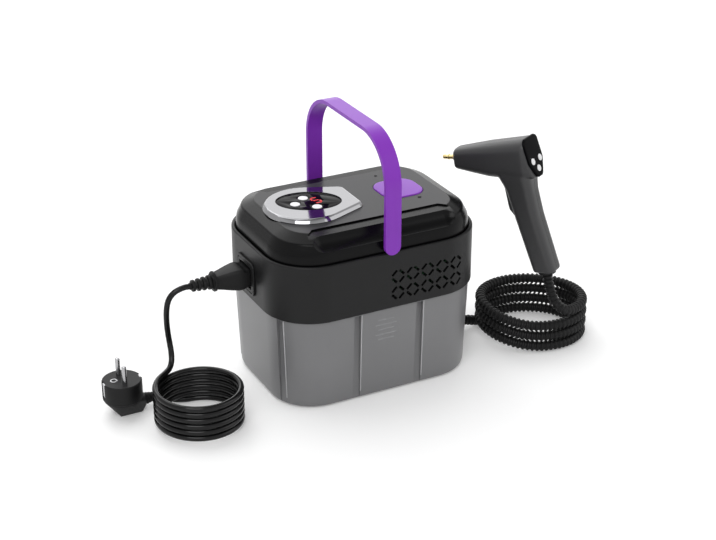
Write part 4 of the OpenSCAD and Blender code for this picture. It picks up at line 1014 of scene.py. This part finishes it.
# Lean of the gun's rear face, the turn that points stacked sections down, and the keys' places on that face
REAR_LEAN = 0.2
GUN_DOWN = Matrix(((0, 1, 0, 0), (1, 0, 0, 0), (0, 0, -1, 0), (0, 0, 0, 1)))
GUN_KEYS = {"left": (7.8, -0.5), "right": (-7.8, -0.5), "lower": (0.0, -9.5)}


class STEAM_OT_gun_body(bpy.types.Operator):
    """Gun shells, brass nozzle and the collars at both ends"""
    bl_idname = "steam.gun_body"
    bl_label = "Steam gun body"

    def execute(self, context):
        head = section_stack("gun_head", [(-11.5, 2.5, 15.0, 21.5, 11.0), (-4.0, 1.15, 16.5, 22.2, 13.0),
                                          (38.0, -0.15, 15.5, 18.2, 13.0), (58.0, -0.1, 13.3, 14.8, 11.5),
                                          (75.0, 0.0, 11.4, 11.8, 10.4), (77.6, 0.0, 11.0, 11.1, 10.2),
                                          (78.3, 0.0, 10.5, 10.5, 9.8)], 8)
        lay_down = Matrix(((0, 0, 1, 0), (1, 0, 0, 0), (0, 1, 0, 0), (0, 0, 0, 1)))
        move(head, lay_down)
        lean_back(head, -0.01)
        grip = section_stack("gun_grip", [(8.0, 11.0, 15.6, 20.0, 9.0), (19.0, 9.0, 15.2, 18.0, 9.0),
                                          (26.0, 7.8, 13.9, 16.2, 8.0), (34.0, 6.5, 12.7, 14.8, 7.0),
                                          (61.0, 2.15, 12.5, 13.4, 7.0), (121.0, -10.4, 12.0, 12.4, 7.0),
                                          (123.0, -10.4, 11.4, 11.7, 6.6)], 8)
        move(grip, GUN_DOWN)
        whole = joined([head, grip], "gun_whole")
        bpy.ops.object.mode_set(mode="EDIT")
        close_form()
        skin = whole.modifiers.new("Skin", "REMESH")
        skin.mode = "VOXEL"
        skin.voxel_size = 0.9 * MM
        melt = whole.modifiers.new("Melt", "SMOOTH")
        melt.factor = 0.5
        melt.iterations = 14
        apply_all(whole)
        cut(whole, bar("trigger_slot", (32.0, 16.2, 30.6), (24.2, 0.0, -45.0)))
        for y, z in GUN_KEYS.values():
            cut(whole, rod("key_room", 4.2, 14.0, (-20.0, y, z), (1, 0, 0), 32))
        for sign, side in ((1, "left"), (-1, "right")):
            choose(whole)
            bpy.ops.object.duplicate()
            half = name_active("gun_" + side + "_shell")
            edit_all()
            bpy.ops.mesh.bisect(plane_co=(0.0, sign * 0.11 * MM, 0.0), plane_no=(0.0, sign, 0.0),
                                clear_inner=True, use_fill=True)
            leave_edit()
            settle_on_gun(half, "gun", "black_satin", ["gun_shell_" + side], sharp=40)
        bpy.data.objects.remove(whole, do_unlink=True)

        nozzle = turned("brass_nozzle", [(4.6, 76.0), (4.6, 79.2), (4.2, 79.5), (3.5, 80.2), (3.5, 83.0),
                                         (2.5, 84.0), (2.5, 88.0), (3.0, 88.4), (3.0, 89.4), (2.5, 89.8),
                                         (2.5, 95.2), (2.2, 95.7), (1.7, 96.0), (1.1, 96.0), (1.0, 92.0)],
                        (0, 0, 0), (1, 0, 0), 40)
        settle_on_gun(nozzle, "brass", "brass", ["gun_nozzle"])
        collar = turned("nozzle_collar", [(5.0, 77.6), (6.8, 77.62), (6.8, 78.5), (6.4, 79.1), (5.2, 79.2),
                                          (4.7, 78.6)], (0, 0, 0), (1, 0, 0), 40)
        settle_on_gun(collar, "satin", "black_satin", ["gun_nozzle_collar"])
        foot = turned("hose_foot_collar", [(8.6, -126.0), (9.4, -125.7), (9.5, -125.0), (9.5, -123.7),
                                           (9.2, -123.1), (8.0, -122.9), (8.0, -115.2)],
                      (-10.4, 0, 0), (0, 0, 1), 40)
        settle_on_gun(foot, "satin", "black_satin", ["gun_hose_collar"])
        return {"FINISHED"}


class STEAM_OT_gun_controls(bpy.types.Operator):
    """Rear panel with its keys, the trigger and the lamp"""
    bl_idname = "steam.gun_controls"
    bl_label = "Steam gun controls"

    def execute(self, context):
        wide = 9.3
        foot = 2.3
        corners = ((-wide, 17.8), (wide, 17.8), (wide, 0.0), (foot, -12.3), (-foot, -12.3), (-wide, 0.0))
        panel = hull_plate([disc("corner", 6.0, (y, z, 0.0)) for y, z in corners], "gun_rear_panel")
        climb(((1.5, 0.0), (0.5, 0.3), (0.3, 0.7), (0.1, 1.2)))
        close_form()
        move(panel, Matrix(((0, 0, -1, -0.0115), (1, 0, 0, 0), (0, 1, 0, 0), (0, 0, 0, 1))))
        for y, z in GUN_KEYS.values():
            cut(panel, rod("key_hole", 3.55, 20.0, (-20.0, y, z), (1, 0, 0), 40))
        lean_back(panel, 0.0)
        settle_on_gun(panel, "piano", "black_gloss", ["gun_panel"], sharp=30)
        for side, (y, z) in GUN_KEYS.items():
            key = button_cap("key", 3.4, 5.0)
            move(key, Matrix(((0, 0, -1, -0.0098), (1, 0, 0, y * MM), (0, 1, 0, z * MM), (0, 0, 0, 1))))
            lean_back(key, 0.0)
            key.name = "gun_" + side + "_key"
            settle_on_gun(key, "white", "white_plastic", ["gun_" + side + "_button"], "gun_button_" + side)
        trigger = section_stack("gun_trigger_key", [(30.0, 18.1, 8.0, 5.7, 2.4), (50.0, 17.1, 8.0, 4.7, 2.4),
                                                    (54.0, 16.7, 8.0, 4.3, 2.4), (60.0, 14.3, 8.0, 1.9, 1.0)],
                                6)
        move(trigger, GUN_DOWN)
        round_edges(trigger, 0.6, 2, 50)
        settle_on_gun(trigger, "gun", "black_satin", ["gun_trigger"], "trigger")
        lamp = turned("gun_status_lamp", [(1.6, -2.0), (1.6, 0.1), (1.3, 0.45), (0.7, 0.6)],
                      (-7.5, 6.0, -32.0), (-1, 0, 0), 24)
        settle_on_gun(lamp, "grey", "white_plastic", ["gun_lamp"])
        return {"FINISHED"}


class STEAM_OT_inner_works(bpy.types.Operator):
    """Finishes of the inner pieces that stay as the frame has them"""
    bl_idname = "steam.inner_works"
    bl_label = "Inner works"

    def execute(self, context):
        kinds = {
            "grey": ["deck_plate", "filler_neck", "pump"],
            "rubber": ["tank_gasket", "cap_seal"],
            "steel": ["deck_screws", "cover_screws", "handle_pins", "inlet_blades", "gun_screws"],
            "board": ["display_board", "control_board", "gun_button_board"],
            "cast": ["boiler"],
            "tube": ["suction_tube", "feed_tube", "steam_tube", "gun_steam_pipe"],
            "satin": ["suction_filter", "trigger_switch"],
        }
        for kind, names in kinds.items():
            for name in names:
                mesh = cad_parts[name].data
                mesh.materials.clear()
                mesh.materials.append(finish_of(kind))
        return {"FINISHED"}


# Stage

def show_background(tree, plain, shown, output):
    """Send one shader to the rays that show the pale background, and a plain one to the rest."""
    path = node(tree, "LightPath")
    ray = path.outputs["Is Camera Ray"]
    for kind in ("Is Glossy Ray", "Is Transmission Ray"):
        either = node(tree, "Math")
        either.operation = "MAXIMUM"
        tree.links.new(ray, either.inputs[0])
        tree.links.new(path.outputs[kind], either.inputs[1])
        ray = either.outputs["Value"]
    pick = node(tree, "MixShader")
    for place, source in enumerate((ray, plain, shown)):
        tree.links.new(source, pick.inputs[place])
    tree.links.new(pick.outputs["Shader"], output.inputs["Surface"])


def aimed(name, data, place, toward):
    """Lamp or camera at a place, looking in a direction."""
    thing = bpy.data.objects.new(name, data)
    thing.location = place
    thing.rotation_mode = "QUATERNION"
    thing.rotation_quaternion = toward.to_track_quat("-Z", "Y")
    bpy.context.scene.collection.objects.link(thing)
    return thing


class STEAM_OT_studio_stage(bpy.types.Operator):
    """Pale floor, soft lamps, world and the camera"""
    bl_idname = "steam.studio_stage"
    bl_label = "Studio stage"

    def execute(self, context):
        clear_selection()
        bpy.ops.mesh.primitive_plane_add(size=14.0, location=(0.0, 0.0, -0.0004))
        floor = name_active("studio_floor")
        bpy.ops.object.transform_apply(location=True)
        paint = plastic("pale_floor", (0.88, 0.88, 0.88), 0.8, 60, 0.02, 0.004)
        tree = paint.node_tree
        plain = tree.nodes["Principled BSDF"].outputs["BSDF"]
        glow = node(tree, "Emission", Strength=0.16)
        both = node(tree, "AddShader")
        tree.links.new(plain, both.inputs[0])
        tree.links.new(glow.outputs["Emission"], both.inputs[1])
        show_background(tree, plain, both.outputs["Shader"], tree.nodes["Material Output"])
        floor.data.materials.append(paint)

        world = bpy.data.worlds.new("studio_world")
        context.scene.world = world
        world.use_nodes = True
        tree = world.node_tree
        link = tree.links.new
        white = (1.0, 1.0, 1.0, 1.0)
        sky = tree.nodes["Background"]
        sky.inputs["Color"].default_value = white
        seen = node(tree, "Background", Color=white)
        way = node(tree, "TexCoord").outputs["Generated"]
        behind = node(tree, "VectorMath")
        behind.operation = "DOT_PRODUCT"
        behind.inputs[1].default_value = (0.459, 0.889, 0.0)
        fade = node(tree, "MapRange", From_Min=-0.6, From_Max=0.8, To_Min=0.26, To_Max=1.0)
        height = node(tree, "SeparateXYZ")
        overhead = node(tree, "MapRange", From_Min=0.62, From_Max=0.95, To_Min=1.0, To_Max=0.3)
        link(way, behind.inputs[0])
        link(behind.outputs["Value"], fade.inputs["Value"])
        link(fade.outputs["Result"], sky.inputs["Strength"])
        link(way, height.inputs["Vector"])
        link(height.outputs["Z"], overhead.inputs["Value"])
        link(overhead.outputs["Result"], seen.inputs["Strength"])
        show_background(tree, sky.outputs["Background"], seen.outputs["Background"],
                        tree.nodes["World Output"])

        lamps = {"key": ((-0.9, -1.2, 1.5), 15.0, 1.1), "fill": ((1.3, -0.9, 0.9), 4.0, 1.2),
                 "top": ((-0.3, 0.5, 1.6), 8.0, 1.2), "back": ((0.72, 1.8, 1.1), 11.0, 2.0),
                 "edge": ((-0.06, 1.76, 1.5), 2.6, 0.8)}
        for name, (place, watts, side) in lamps.items():
            data = bpy.data.lights.new("studio_" + name, "AREA")
            data.energy = watts
            data.size = side
            aimed("studio_" + name, data, place, Vector((0.0, 0.0, 0.1)) - Vector(place))

        target = Vector((0.007, 0.0, 0.1028))
        azimuth = math.radians(-27.3)
        elevation = math.radians(25.9)
        back = Vector((math.sin(azimuth) * math.cos(elevation), -math.cos(azimuth) * math.cos(elevation),
                       math.sin(elevation)))
        data = bpy.data.cameras.new("photo_camera")
        data.sensor_width = 36.0
        data.lens = 78.94
        distance = 1.625
        context.scene.camera = aimed("photo_camera", data, target + back * distance, -back)
        context.scene.view_settings.view_transform = "Standard"
        return {"FINISHED"}


class STEAM_PT_build(bpy.types.Panel):
    """Lists the pieces in the order they are built"""
    bl_idname = "STEAM_PT_build"
    bl_label = "Steam cleaner"
    bl_space_type = "VIEW_3D"
    bl_region_type = "UI"
    bl_category = "Steam"

    def draw(self, context):
        for operator in OPERATORS:
            self.layout.operator(operator.bl_idname)


OPERATORS = (
    STEAM_OT_studio_stage, STEAM_OT_mains_cord, STEAM_OT_gun_body, STEAM_OT_steam_hose, STEAM_OT_water_tank,
    STEAM_OT_housing_band, STEAM_OT_top_cover, STEAM_OT_carry_handle, STEAM_OT_control_panel,
    STEAM_OT_filler_cap, STEAM_OT_mains_inlet, STEAM_OT_hose_outlet, STEAM_OT_gun_controls,
    STEAM_OT_inner_works,
)
CLASSES = (SteamSizes, SteamColours) + OPERATORS + (STEAM_PT_build,)


def register():
    for item in CLASSES:
        bpy.utils.register_class(item)
    bpy.types.Scene.steam_sizes = PointerProperty(type=SteamSizes)
    bpy.types.Scene.steam_colours = PointerProperty(type=SteamColours)


def unregister():
    del bpy.types.Scene.steam_colours
    del bpy.types.Scene.steam_sizes
    for item in reversed(CLASSES):
        bpy.utils.unregister_class(item)


def main():
    register()
    for operator in OPERATORS:
        group, action = operator.bl_idname.split(".")
        getattr(getattr(bpy.ops, group), action)()
    clear_selection()


if __name__ == "__main__":
    main()
